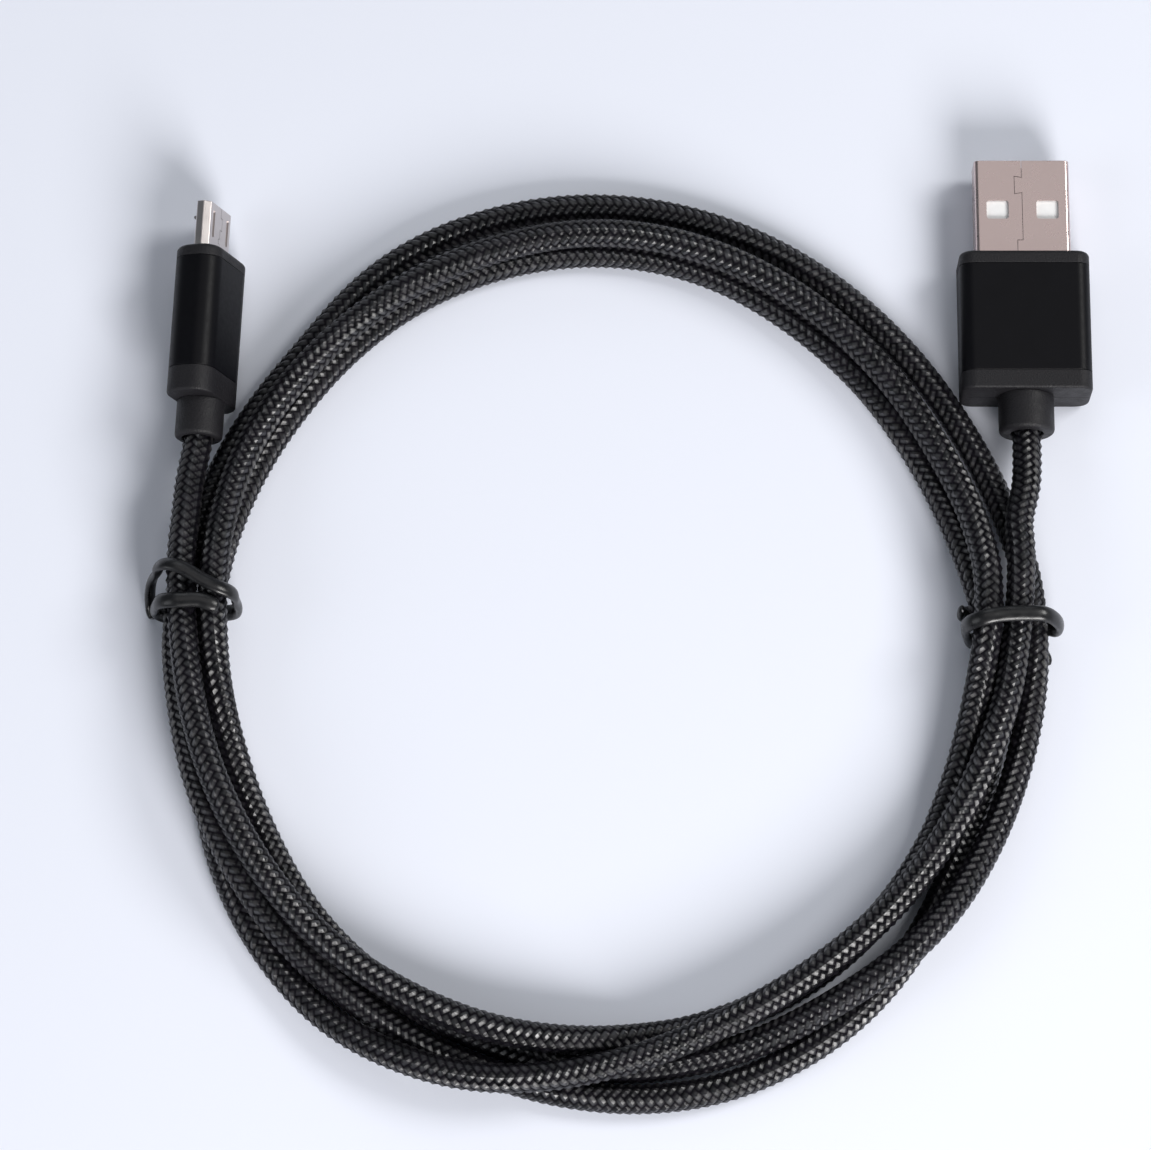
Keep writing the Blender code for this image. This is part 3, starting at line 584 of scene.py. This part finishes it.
def ribbon(path, width):
    """The outline of a line of this width along a path in x, y."""
    path = [Vector(point) for point in path]
    left, right = [], []
    for n, point in enumerate(path):
        into = (point - path[max(n - 1, 0)]).normalized()
        away = (path[min(n + 1, len(path) - 1)] - point).normalized()
        into, away = into if n else away, away if n < len(path) - 1 else into
        normals = Vector((-into.y, into.x)), Vector((-away.y, away.x))
        middle = (normals[0] + normals[1]).normalized()
        offset = middle * width / 2 / normals[0].dot(middle)
        left.append(point + offset)
        right.append(point - offset)
    return right + left[::-1]


def carve(mesh, cutters):
    """The mesh with each cutter taken out of it."""
    target = bpy.data.objects.new("carved", mesh)
    bpy.context.scene.collection.objects.link(target)
    others = []
    for cutter in cutters:
        other = bpy.data.objects.new("cutter", cutter)
        bpy.context.scene.collection.objects.link(other)
        modifier = target.modifiers.new("carve", "BOOLEAN")
        modifier.operation, modifier.object = "DIFFERENCE", other
        others.append(other)
    graph = bpy.context.evaluated_depsgraph_get()
    carved = bpy.data.meshes.new_from_object(target.evaluated_get(graph))
    for obj in (target, *others):
        bpy.data.objects.remove(obj)
    carved.name = mesh.name
    return carved


def soften(mesh, width, segments=2, angle=30):
    """Rounds every edge of the mesh that is sharper than the angle."""
    work = bmesh.new()
    work.from_mesh(mesh)
    sharp = [e for e in work.edges if e.is_manifold and e.calc_face_angle(0) > math.radians(angle)]
    bmesh.ops.bevel(
        work, geom=sharp, offset=width * MM, segments=segments, affect="EDGES", clamp_overlap=True
    )
    work.to_mesh(mesh)
    work.free()
    return mesh


def place(name, mesh, slot, nodes, body="cable", transform=None):
    """A finished piece that rides on a body and stands for CAD nodes."""
    piece = bpy.data.objects.new(name, mesh)
    bpy.context.scene.collection.objects.link(piece)
    if transform is not None:
        mesh.transform(transform)
    mesh.materials.clear()
    mesh.materials.append(FINISHES[slot])
    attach(piece, body)
    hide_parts(*nodes)
    return piece


def shade(piece, angle=40):
    """Smooth shading that keeps flat faces flat."""
    piece.data.shade_smooth()
    piece.data.set_sharp_from_angle(angle=math.radians(angle))
    modifier = piece.modifiers.new("flat faces", "WEIGHTED_NORMAL")
    modifier.keep_sharp = True
    return piece


# ---------------------------------------------------------------- cord


def smooth_through(knots, values, places):
    """Values read at places on a smooth curve through the knots."""
    knots, values = np.asarray(knots, float), np.asarray(values, float)
    slopes = np.gradient(values, knots)
    i = np.clip(np.searchsorted(knots, places, side="right") - 1, 0, len(knots) - 2)
    span = knots[i + 1] - knots[i]
    t = (places - knots[i]) / span
    start = (2 * t**3 - 3 * t**2 + 1) * values[i] + (t**3 - 2 * t**2 + t) * span * slopes[i]
    end = (3 * t**2 - 2 * t**3) * values[i + 1] + (t**3 - t**2) * span * slopes[i + 1]
    return start + end


def evenly(points, spacing):
    """Points about the given distance apart on a smooth curve through these."""
    points = np.array(points)
    steps = np.linalg.norm(np.diff(points, axis=0), axis=1)
    along = np.concatenate([[0], np.cumsum(steps)])
    places = np.linspace(0, along[-1], max(3, round(along[-1] / spacing) + 1))
    return np.stack([smooth_through(along, points[:, i], places) for i in range(3)], axis=1)


def stack_height(angle):
    """How many passes of the cord lie under this one."""
    turn, station = divmod(round(angle / STATION_STEP), len(STACK))
    order = STACK[station]
    return len(order) - 1 - order.index(str(turn))


def floor_heights(angles):
    """The lowest that the cord's middle can be: on the surface, or on a tie that passes under it."""
    lowest = np.full(len(angles), CORD_DIAMETER / 2)
    for tie in (LEFT_TIE, RIGHT_TIE):
        away = np.abs((angles - tie["angle"] + 180) % 360 - 180)
        near = np.clip((TIE_LIFT_REACH - away) / (TIE_LIFT_REACH - TIE_LIFT_TOP), 0, 1)
        lift = TIE_LIFT * near**2 * (3 - 2 * near)
        lowest = np.maximum(lowest, CORD_DIAMETER / 2 + lift)
    return lowest


def settle_coil():
    """Running angles, radii and heights of the coiled cord, settled as the CAD model settles it."""
    radii = [radius for row in TURN_RADII for radius in row]
    stations = FIRST_ANGLE + STATION_STEP * np.arange(len(radii))
    angles = np.arange(stations[0], stations[-1] + SETTLE_STEP / 2, SETTLE_STEP)
    wanted = smooth_through(stations, radii, angles)
    lowest = floor_heights(angles)
    spacing = CORD_DIAMETER * CORD_SPACING
    under = np.array([stack_height(angle) for angle in angles])
    height = np.maximum(lowest, CORD_DIAMETER / 2 + under * CORD_DIAMETER)
    radius = wanted.copy()
    per_turn = round(360 / SETTLE_STEP)
    for _ in range(SETTLE_ROUNDS):
        height -= SINK
        for line in (height, radius) * SMOOTHINGS:
            line[1:-1] += SPREAD * (line[:-2] + line[2:] - 2 * line[1:-1])
            radius += PULL_BACK * (wanted - radius)
        # Passes that can touch lie a whole number of turns apart.
        for turns in (1, 2, 3) * PUSHES:
            inner, outer = slice(None, -per_turn * turns), slice(per_turn * turns, None)
            across = radius[outer] - radius[inner]
            up = height[outer] - height[inner]
            apart = np.hypot(across, up) + 1e-9
            push = np.clip(spacing - apart, 0, None) / 2 / apart
            radius[inner] -= push * across
            radius[outer] += push * across
            height[inner] -= push * up
            height[outer] += push * up
            height = np.maximum(height, lowest)
    return angles, radius, height


def cord_route(coil):
    """Points of the whole cord in metres, from inside the micro-USB plug to inside the USB-A plug."""
    route = [MICRO_FRAME @ Vector((0, MICRO_CORD_END * MM, 0))]
    route += [MICRO_FRAME.translation, COIL_CENTRE + Vector(MICRO_TAIL) * MM]
    for angle, radius, height in zip(*coil):
        turned = math.radians(angle)
        spot = Vector((radius * math.cos(turned), radius * math.sin(turned), height))
        route.append(COIL_CENTRE + spot * MM)
    route += [COIL_CENTRE + Vector(USB_A_TAIL) * MM, USB_A_FRAME.translation]
    route.append(USB_A_FRAME @ Vector((0, USB_A_CORD_END * MM, 0)))
    return route


def frames_along(line):
    """At each point of a line: the way ahead, and two directions across it, the first one nearest to up."""
    ahead = np.gradient(line, axis=0)
    ahead /= np.linalg.norm(ahead, axis=1, keepdims=True)
    up = np.array([0.0, 0.0, 1.0]) - ahead * ahead[:, 2:3]
    up /= np.linalg.norm(up, axis=1, keepdims=True)
    return ahead, up, np.cross(ahead, up)


def braid_relief(twice_i, twice_j):
    """How far the braid's surface stands out, in millimetres, at half steps of the two carriers' numbers.

    Carrier i of one hand crosses carrier j of the other at whole i and j. It is on top, and shows as a
    float over two crossings, where i + j is 0 or 1 above a multiple of four.
    """
    crossing = (twice_i % 2 == 0) & (twice_j % 2 == 0)
    first_middle = (twice_i % 2 == 0) & ((twice_i + twice_j) % 8 == 1)
    second_middle = (twice_j % 2 == 0) & ((twice_i + twice_j) % 8 == 5)
    relief = np.where(crossing, BRAID_SHOULDER, BRAID_GROOVE)
    return np.where(first_middle | second_middle, BRAID_CROWN, relief)


def braid_points(line, row, column, relief):
    """The points of the braid round the line, row by row."""
    radius = (CORD_DIAMETER / 2 + relief) * MM
    _, up, side = frames_along(line)
    travelled = row * BRAID_PITCH / 4
    turned = sum(size * np.sin(travelled / length + start) for size, length, start in BRAID_TURNS)
    angle = math.pi * (2 * column + row % 2) / (2 * CARRIERS) + turned
    points = line[:, None] + (radius * np.cos(angle))[..., None] * up[:, None]
    return points + (radius * np.sin(angle))[..., None] * side[:, None]


def braid_quads(row, column):
    """The four corners of each quad, as numbers of points."""
    around = 2 * CARRIERS
    below, start = row[:-2], column[:-2]
    right, left = (start + below % 2) % around, (start - 1 + below % 2) % around
    corners = (
        below * around + start,
        (below + 1) * around + right,
        (below + 2) * around + start,
        (below + 1) * around + left,
    )
    return np.stack(corners, axis=-1).reshape(-1, 4)


def braid_ends(rows, around):
    """The faces that close the tube: a cap at each end, and the triangles between it and the quads."""
    ends = []
    for edge, inner in ((0, 1), (rows - 1, rows - 2)):
        turned = range(around) if edge else range(around)[::-1]
        ends.append([edge * around + c for c in turned])
        for c in range(around):
            pair = [edge * around + c, edge * around + (c + 1) % around]
            ends.append([*(pair[::-1] if edge else pair), inner * around + c])
    return ends


def float_places(twice_i, twice_j):
    """The tone of the float that each quad is part of, and how far each corner is along and across it."""
    corner_i = np.stack([twice_i[:-2], twice_i[:-2], twice_i[:-2] - 1, twice_i[:-2] - 1], axis=-1) / 2
    corner_j = np.stack([twice_j[:-2], twice_j[:-2] + 1, twice_j[:-2] + 1, twice_j[:-2]], axis=-1) / 2
    cell_i, cell_j = np.rint(corner_i.mean(axis=-1)), np.rint(corner_j.mean(axis=-1))
    on_top = (cell_i + cell_j) % 4 < 2
    begun = (cell_i + cell_j) % 2
    carrier = np.where(on_top, cell_i, cell_j)
    number = np.where(on_top, cell_j - begun - cell_i, cell_j - cell_i + begun) + 3 * on_top
    tones = np.random.default_rng(TONE_SEED).random(TONES)
    tone = tones[(carrier % CARRIERS * CARRIER_STEP + number * FLOAT_STEP).astype(int) % TONES]
    yarn_start = np.where(on_top, cell_j, cell_i) - begun
    along = np.where(on_top[..., None], corner_j, corner_i) - yarn_start[..., None]
    across = np.where(on_top[..., None], corner_i, corner_j) - carrier[..., None]
    return tone, along, across


def add_corner_map(mesh, name, along, across):
    """A UV map with these values at the quads' corners, and zero on the faces at the ends."""
    uv = np.zeros((len(mesh.loops), 2))
    uv[: along.size, 0] = along.ravel()
    uv[: across.size, 1] = across.ravel()
    mesh.uv_layers.new(name=name).data.foreach_set("uv", uv.ravel())


def crease_grooves(mesh, low):
    """Marks as sharp the edges that join two low points, where one yarn dives under another."""
    edges = np.empty(2 * len(mesh.edges), int)
    mesh.edges.foreach_get("vertices", edges)
    creased = low[edges].reshape(-1, 2).all(axis=1)
    mesh.attributes.new("sharp_edge", "BOOLEAN", "EDGE").data.foreach_set("value", creased)


def braid_mesh(line):
    """A closed tube round the line whose surface is the braid.

    Each row of points is half a crossing further along, and turned by half a point, so that the edges
    run along the yarns. One quad is a quarter of a crossing.
    """
    rows, around = len(line), 2 * CARRIERS
    row, column = np.meshgrid(np.arange(rows), np.arange(around), indexing="ij")
    twice_i, twice_j = column - row // 2, column + (row + 1) // 2
    relief = braid_relief(twice_i, twice_j)
    points = braid_points(line, row, column, relief)
    quads = braid_quads(row, column)
    mesh = mesh_of("braided_cord", points.reshape(-1, 3), quads.tolist() + braid_ends(rows, around))
    tone, along, across = float_places(twice_i, twice_j)
    shift = tone[..., None]
    add_corner_map(mesh, "yarns", along + TONE_SHIFT_ALONG * shift, across + TONE_SHIFT_ACROSS * shift)
    add_corner_map(mesh, "float_place", along - 0.5, across)
    tones = np.zeros(len(mesh.polygons))
    tones[: len(quads)] = tone.ravel()
    mesh.attributes.new("float_tone", "FLOAT", "FACE").data.foreach_set("value", tones)
    crease_grooves(mesh, (relief < 0).ravel())
    return mesh


def add_cord(coil):
    """The braided cord and its middle line."""
    line = evenly(cord_route(coil), BRAID_PITCH / 4 * MM)
    line = line[: len(line) - 1 + len(line) % 2]
    cord = place("braided_cord", braid_mesh(line), "braided_nylon", CORD_NODES)
    return cord, line


# ---------------------------------------------------------------- twist ties


def push_clear(point, circles, clearance):
    """Moves a point of a tie out of the bundle of cords, in the plane across it."""
    reach, best = None, None
    for degrees in range(0, 360, 5):
        turned = math.radians(degrees)
        c, s = math.cos(turned), math.sin(turned)
        edge = max(x * c + z * s for x, z in circles) + CORD_DIAMETER / 2
        away = point[0] * c + point[2] * s - edge
        if reach is None or away > reach:
            reach, best = away, (c, s)
    short = max(clearance - reach, 0)
    return (point[0] + best[0] * short, point[1], point[2] + best[1] * short)


def tie_line(tie, points, coil):
    """The middle of a tie's wire, in metres."""
    angles, radii, heights = coil
    turned = math.radians(tie["angle"])
    outward = Vector((math.cos(turned), math.sin(turned), 0))
    along = Vector((-math.sin(turned), math.cos(turned), 0))
    line = []
    for across, lengthwise, height in evenly(points, TIE_POINT_SPACING):
        station = tie["angle"] % 360 + math.degrees(lengthwise / tie["radius"])
        circles = [
            (np.interp(a, angles, radii) - tie["radius"], np.interp(a, angles, heights))
            for a in (station + 360 * turn for turn in range(5))
            if angles[0] <= a <= angles[-1]
        ]
        clear = push_clear((across, lengthwise, height), circles, TIE_HALF_THICKNESS + TIE_CLEARANCE)
        spot = outward * (tie["radius"] + clear[0]) + along * clear[1]
        spot.z = max(clear[2], TIE_HALF_THICKNESS)
        line.append(COIL_CENTRE + spot * MM)
    return line


def carried(line, ahead, start, direction):
    """A direction across the line at its start point, carried from there to both ends without twisting."""
    across = np.zeros_like(line)
    last = np.array(direction)
    for i in (*range(start, len(line)), *range(start - 1, -1, -1)):
        if i == start - 1:
            last = across[start]
        last = last - ahead[i] * last.dot(ahead[i])
        last /= np.linalg.norm(last)
        across[i] = last
    return across


def add_tie(name, tie, points, coil):
    """A vinyl-covered wire with a flattened section, whose ends narrow where they were cut."""
    line = evenly(tie_line(tie, points, coil), TIE_RING_SPACING * MM)
    ahead = frames_along(line)[0]
    turned = math.radians(tie["angle"])
    along_cord = np.array([-math.sin(turned), math.cos(turned), 0.0])
    across = carried(line, ahead, int(np.abs(ahead @ along_cord).argmin()), along_cord)
    turns = 2 * math.pi * np.arange(TIE_SIDES) / TIE_SIDES
    rings = []
    for i, (point, forward, side) in enumerate(zip(line, ahead, across)):
        from_end = min(i, len(line) - 1 - i) / TIE_TAPER_RINGS
        size = math.sqrt(1 - (1 - min(from_end + TIE_BLUNTNESS, 1)) ** 2)
        other = np.cross(side, forward)
        ring = np.outer(np.cos(turns) * TIE_HALF_WIDTH * size, side)
        ring -= np.outer(np.sin(turns) * TIE_HALF_THICKNESS * size, other)
        ring = point + ring * MM
        ring[:, 2] -= min(0, ring[:, 2].min())
        rings.append(list(ring))
    mesh = mesh_of(name, *bridge(rings, wrap=False))
    mesh.shade_smooth()
    place(name, mesh, "tie_vinyl", [name + "_coat"])


# ---------------------------------------------------------------- plugs


def parting_lines(width, span, end_face):
    """Cutters for the fine line that a two-part mould leaves round a collar at half height."""
    y0, y1 = span
    wide, deep = MOULD_LINE_HALF_WIDTH, MOULD_LINE_DEPTH
    cutters = []
    for side in (-1, 1):
        x = side * width / 2
        cutters.append(box("line", (x - deep, y0 - 1, -wide), (x + deep, y1 + 1, wide)))
    if end_face:
        cutters.append(box("line", (-width, y0 - 1, -wide), (width, y0 + deep, wide)))
    return cutters


def add_housing(prefix, plug, sizes, parted):
    """A plug's strain relief, two moulded collars and the sleeve between them. parted shows mould lines."""
    width, height, corner = sizes["size"]
    body = rounded_rectangle(width, height, corner)
    inside_corner = max(corner - SLEEVE_WALL, LEAST_CORNER)
    hollow = rounded_rectangle(width - 2 * SLEEVE_WALL, height - 2 * SLEEVE_WALL, inside_corner)
    bore = circle(BORE_RADIUS)
    radius = sizes["relief_radius"]
    relief = sleeve("relief", circle(radius), bore, sizes["relief"], (0.55, 0.02), inner_edge=0.12)
    rear = sleeve("collar", body, bore, sizes["rear"], (0.35, 0.06))
    middle = sleeve("sleeve", body, hollow, sizes["middle"], (0.10, 0.10))
    front = sleeve("collar", body, rounded_rectangle(*sizes["shell_hole"]), sizes["front"], (0.06, 0.6))
    if parted:
        relief = carve(relief, parting_lines(2 * radius, sizes["relief"], end_face=True))
        rear = carve(rear, parting_lines(width, sizes["rear"], end_face=True))
        front = carve(front, parting_lines(width, sizes["front"], end_face=False))
    pieces = (
        ("relief", relief, "textured_plastic", "strain_relief"),
        ("rear_ring", rear, "textured_plastic", "rear_collar"),
        ("satin_sleeve", middle, "satin_black", "sleeve"),
        ("front_ring", front, "textured_plastic", "front_collar"),
    )
    for label, mesh, slot, node in pieces:
        shade(place(f"{prefix}_{label}", mesh, slot, [f"{prefix}_{node}"], transform=plug))


def add_usb_a_shell():
    """The folded shell, with its seam on top and two windows through each wide wall."""
    width, height, corner = USB_A_SHELL
    wall = USB_A_SHELL_WALL
    outer = rounded_rectangle(width, height, corner, SHELL_CORNER_STEPS)
    inner = rounded_rectangle(width - 2 * wall, height - 2 * wall, corner - wall, SHELL_CORNER_STEPS)
    shell = sleeve("shell", outer, inner, USB_A_SHELL_SPAN, (0.05, 0.13), inner_edge=0.08)
    cutters = [prism("seam", ribbon(USB_A_SEAM, USB_A_SEAM_WIDTH), 1.5, 3.0)]
    for side in (-1, 1):
        window = rounded_rectangle(*USB_A_WINDOW, HOLE_CORNER_STEPS)(0)
        spots = [(x + side * USB_A_WINDOW_X, y + USB_A_WINDOW_Y) for x, y in window]
        cutters.append(prism("window", spots, -4, 4))
    shell = carve(shell, cutters)
    piece = place("usb_a_metal_shell", shell, "satin_nickel", ["usb_a_shell"], transform=USB_A_FRAME)
    shade(piece, SHARP)


def add_usb_a_inside():
    """The white tongue with a groove for each contact, and the contacts."""
    tongue = side_profile("tongue", USB_A_TONGUE, USB_A_TONGUE_HALF_WIDTH)
    start = USB_A_CONTACT_START
    grooves = [
        box("groove", (x - 0.6, start - 0.6, -1.0), (x + 0.6, start + 0.6 + length, 0.12))
        for x, length in USB_A_CONTACTS.items()
    ]
    tongue = soften(carve(tongue, grooves), 0.07)
    piece = place("usb_a_tongue", tongue, "white_plastic", ["usb_a_insulator"], transform=USB_A_FRAME)
    shade(piece, SHARP)
    for number, (x, length) in enumerate(USB_A_CONTACTS.items(), 1):
        end = start + length
        profile = ((start, -0.35), (end - 0.5, -0.35), (end, -0.18), (end, -0.1), (start, -0.1))
        strip = soften(side_profile("contact", profile, 0.5), 0.05)
        strip.transform(Matrix.Translation((x * MM, 0, 0)))
        name = f"usb_a_contact_{number}"
        shade(place(name + "_strip", strip, "gold_contact", [name], transform=USB_A_FRAME), SHARP)


def add_micro_shell():
    """The shell. Its narrower broad wall has the seam and two slots, the other one the latch windows."""
    outer = rounded_polygon(MICRO_SHELL_CORNERS, HOLE_CORNER_STEPS)

    def inner(inset=0.0):
        return outer(inset + MICRO_SHELL_WALL)

    shell = sleeve("shell", outer, inner, MICRO_SHELL_SPAN, (0.05, 0.1), inner_edge=0.06)
    cutters = [prism("seam", ribbon(MICRO_SEAM, MICRO_SEAM_WIDTH), 0.4, 1.4)]
    window_start, window_end = MICRO_LATCH_WINDOW
    wide = MICRO_LATCH_WINDOW_HALF_WIDTH
    for side in (-1, 1):
        slot = rounded_rectangle(*MICRO_SLOT, HOLE_CORNER_STEPS)(0)
        spots = [(x + side * MICRO_SLOT_X, y + MICRO_SLOT_Y) for x, y in slot]
        cutters.append(prism("slot", spots, 0.72, 1.4))
        x = side * MICRO_LATCH_X
        cutters.append(box("latch window", (x - wide, window_start, -1.4), (x + wide, window_end, -0.5)))
    shell = carve(shell, cutters)
    piece = place("micro_metal_shell", shell, "bright_nickel", ["micro_shell"], transform=MICRO_FRAME)
    shade(piece, SHARP)


def add_micro_inside():
    """The insulator, the five contact springs and the two latch springs."""
    mesh = soften(side_profile("seat", MICRO_SEAT, MICRO_SEAT_HALF_WIDTH), 0.04)
    shade(place("micro_seat", mesh, "black_nylon", ["micro_insulator"], transform=MICRO_FRAME), SHARP)
    for number in range(1, MICRO_CONTACTS + 1):
        x = (number - (MICRO_CONTACTS + 1) / 2) * MICRO_CONTACT_PITCH
        hinge = MICRO_FRAME @ Matrix.Translation(Vector((x, MICRO_HINGE_Y, MICRO_CONTACT_Z)) * MM)
        mesh = soften(side_profile("spring", MICRO_SPRING, MICRO_SPRING_HALF_WIDTH), 0.025)
        name = f"micro_contact_{number}"
        shade(place(name + "_strip", mesh, "gold_contact", [name], name + "_spring", hinge), SHARP)
    for side, label in ((-1, "left"), (1, "right")):
        x = side * MICRO_LATCH_X
        hinge = MICRO_FRAME @ Matrix.Translation(Vector((x, MICRO_HINGE_Y, MICRO_LATCH_Z)) * MM)
        mesh = soften(side_profile("hook", MICRO_HOOK, MICRO_HOOK_HALF_WIDTH), 0.03)
        name = f"micro_latch_{label}"
        shade(place(name + "_hook", mesh, "bright_nickel", [name], name + "_spring", hinge), SHARP)


def add_plugs():
    add_housing("usb_a", USB_A_FRAME, USB_A_HOUSING, parted=True)
    add_usb_a_shell()
    add_usb_a_inside()
    add_housing("micro", MICRO_FRAME, MICRO_HOUSING, parted=False)
    add_micro_shell()
    add_micro_inside()


# ---------------------------------------------------------------- the whole cable


def add_cable():
    """Every visible piece of the cable. Gives back the cord and its middle line."""
    coil = settle_coil()
    cord, cord_line = add_cord(coil)
    add_tie("left_tie", LEFT_TIE, LEFT_TIE_POINTS, coil)
    add_tie("right_tie", RIGHT_TIE, RIGHT_TIE_POINTS, coil)
    add_plugs()
    return cord, cord_line


def finish_cad_nodes():
    """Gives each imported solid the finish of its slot, for the ones that stay in view."""
    for row in frame["record"]["subparts"]:
        node = frame["nodes"][row["node"]]
        node.data.materials.clear()
        node.data.materials.append(FINISHES[row["material_slot"]])


# ---------------------------------------------------------------- room


def add_floor():
    """A plain pale table top."""
    mesh = bpy.data.meshes.new("table_top")
    corners = [(x * TABLE_HALF, y * TABLE_HALF, 0) for x, y in ((-1, -1), (1, -1), (1, 1), (-1, 1))]
    mesh.from_pydata(corners, [], [(0, 1, 2, 3)])
    table = bpy.data.objects.new("table_top", mesh)
    bpy.context.scene.collection.objects.link(table)
    finish = Finish("table_top", (0.79, 0.82, 0.91), 0.6)
    cloud = finish.noise(finish.coordinates(), 6, 2)
    finish.feed("Base Color", finish.blend(cloud, (0.78, 0.81, 0.90), (0.80, 0.83, 0.92)))
    mesh.materials.append(finish.material)


def add_light(name, position, size, power, colour):
    """A round lamp turned to what the camera looks at."""
    data = bpy.data.lights.new(name, "AREA")
    data.shape, data.size, data.energy, data.color = "DISK", size, power, colour
    lamp = bpy.data.objects.new(name, data)
    bpy.context.scene.collection.objects.link(lamp)
    lamp.location = Vector(position)
    lamp.rotation_mode = "QUATERNION"
    lamp.rotation_quaternion = (CAMERA_AIM - lamp.location).to_track_quat("-Z", "Y")


def add_lights():
    """A soft lamp in front and one on the right, weak ones behind and on the left, and a pale ceiling."""
    for name, lamp in LAMPS.items():
        add_light(name, *lamp)
    world = bpy.data.worlds.new("room")
    bpy.context.scene.world = world
    world.use_nodes = True
    background = world.node_tree.nodes["Background"]
    background.inputs["Color"].default_value = CEILING_COLOUR
    background.inputs["Strength"].default_value = CEILING_STRENGTH
    bpy.context.scene.view_settings.view_transform = "Standard"


add_camera()
cord, cord_line = add_cable()
finish_cad_nodes()
add_floor()
add_lights()
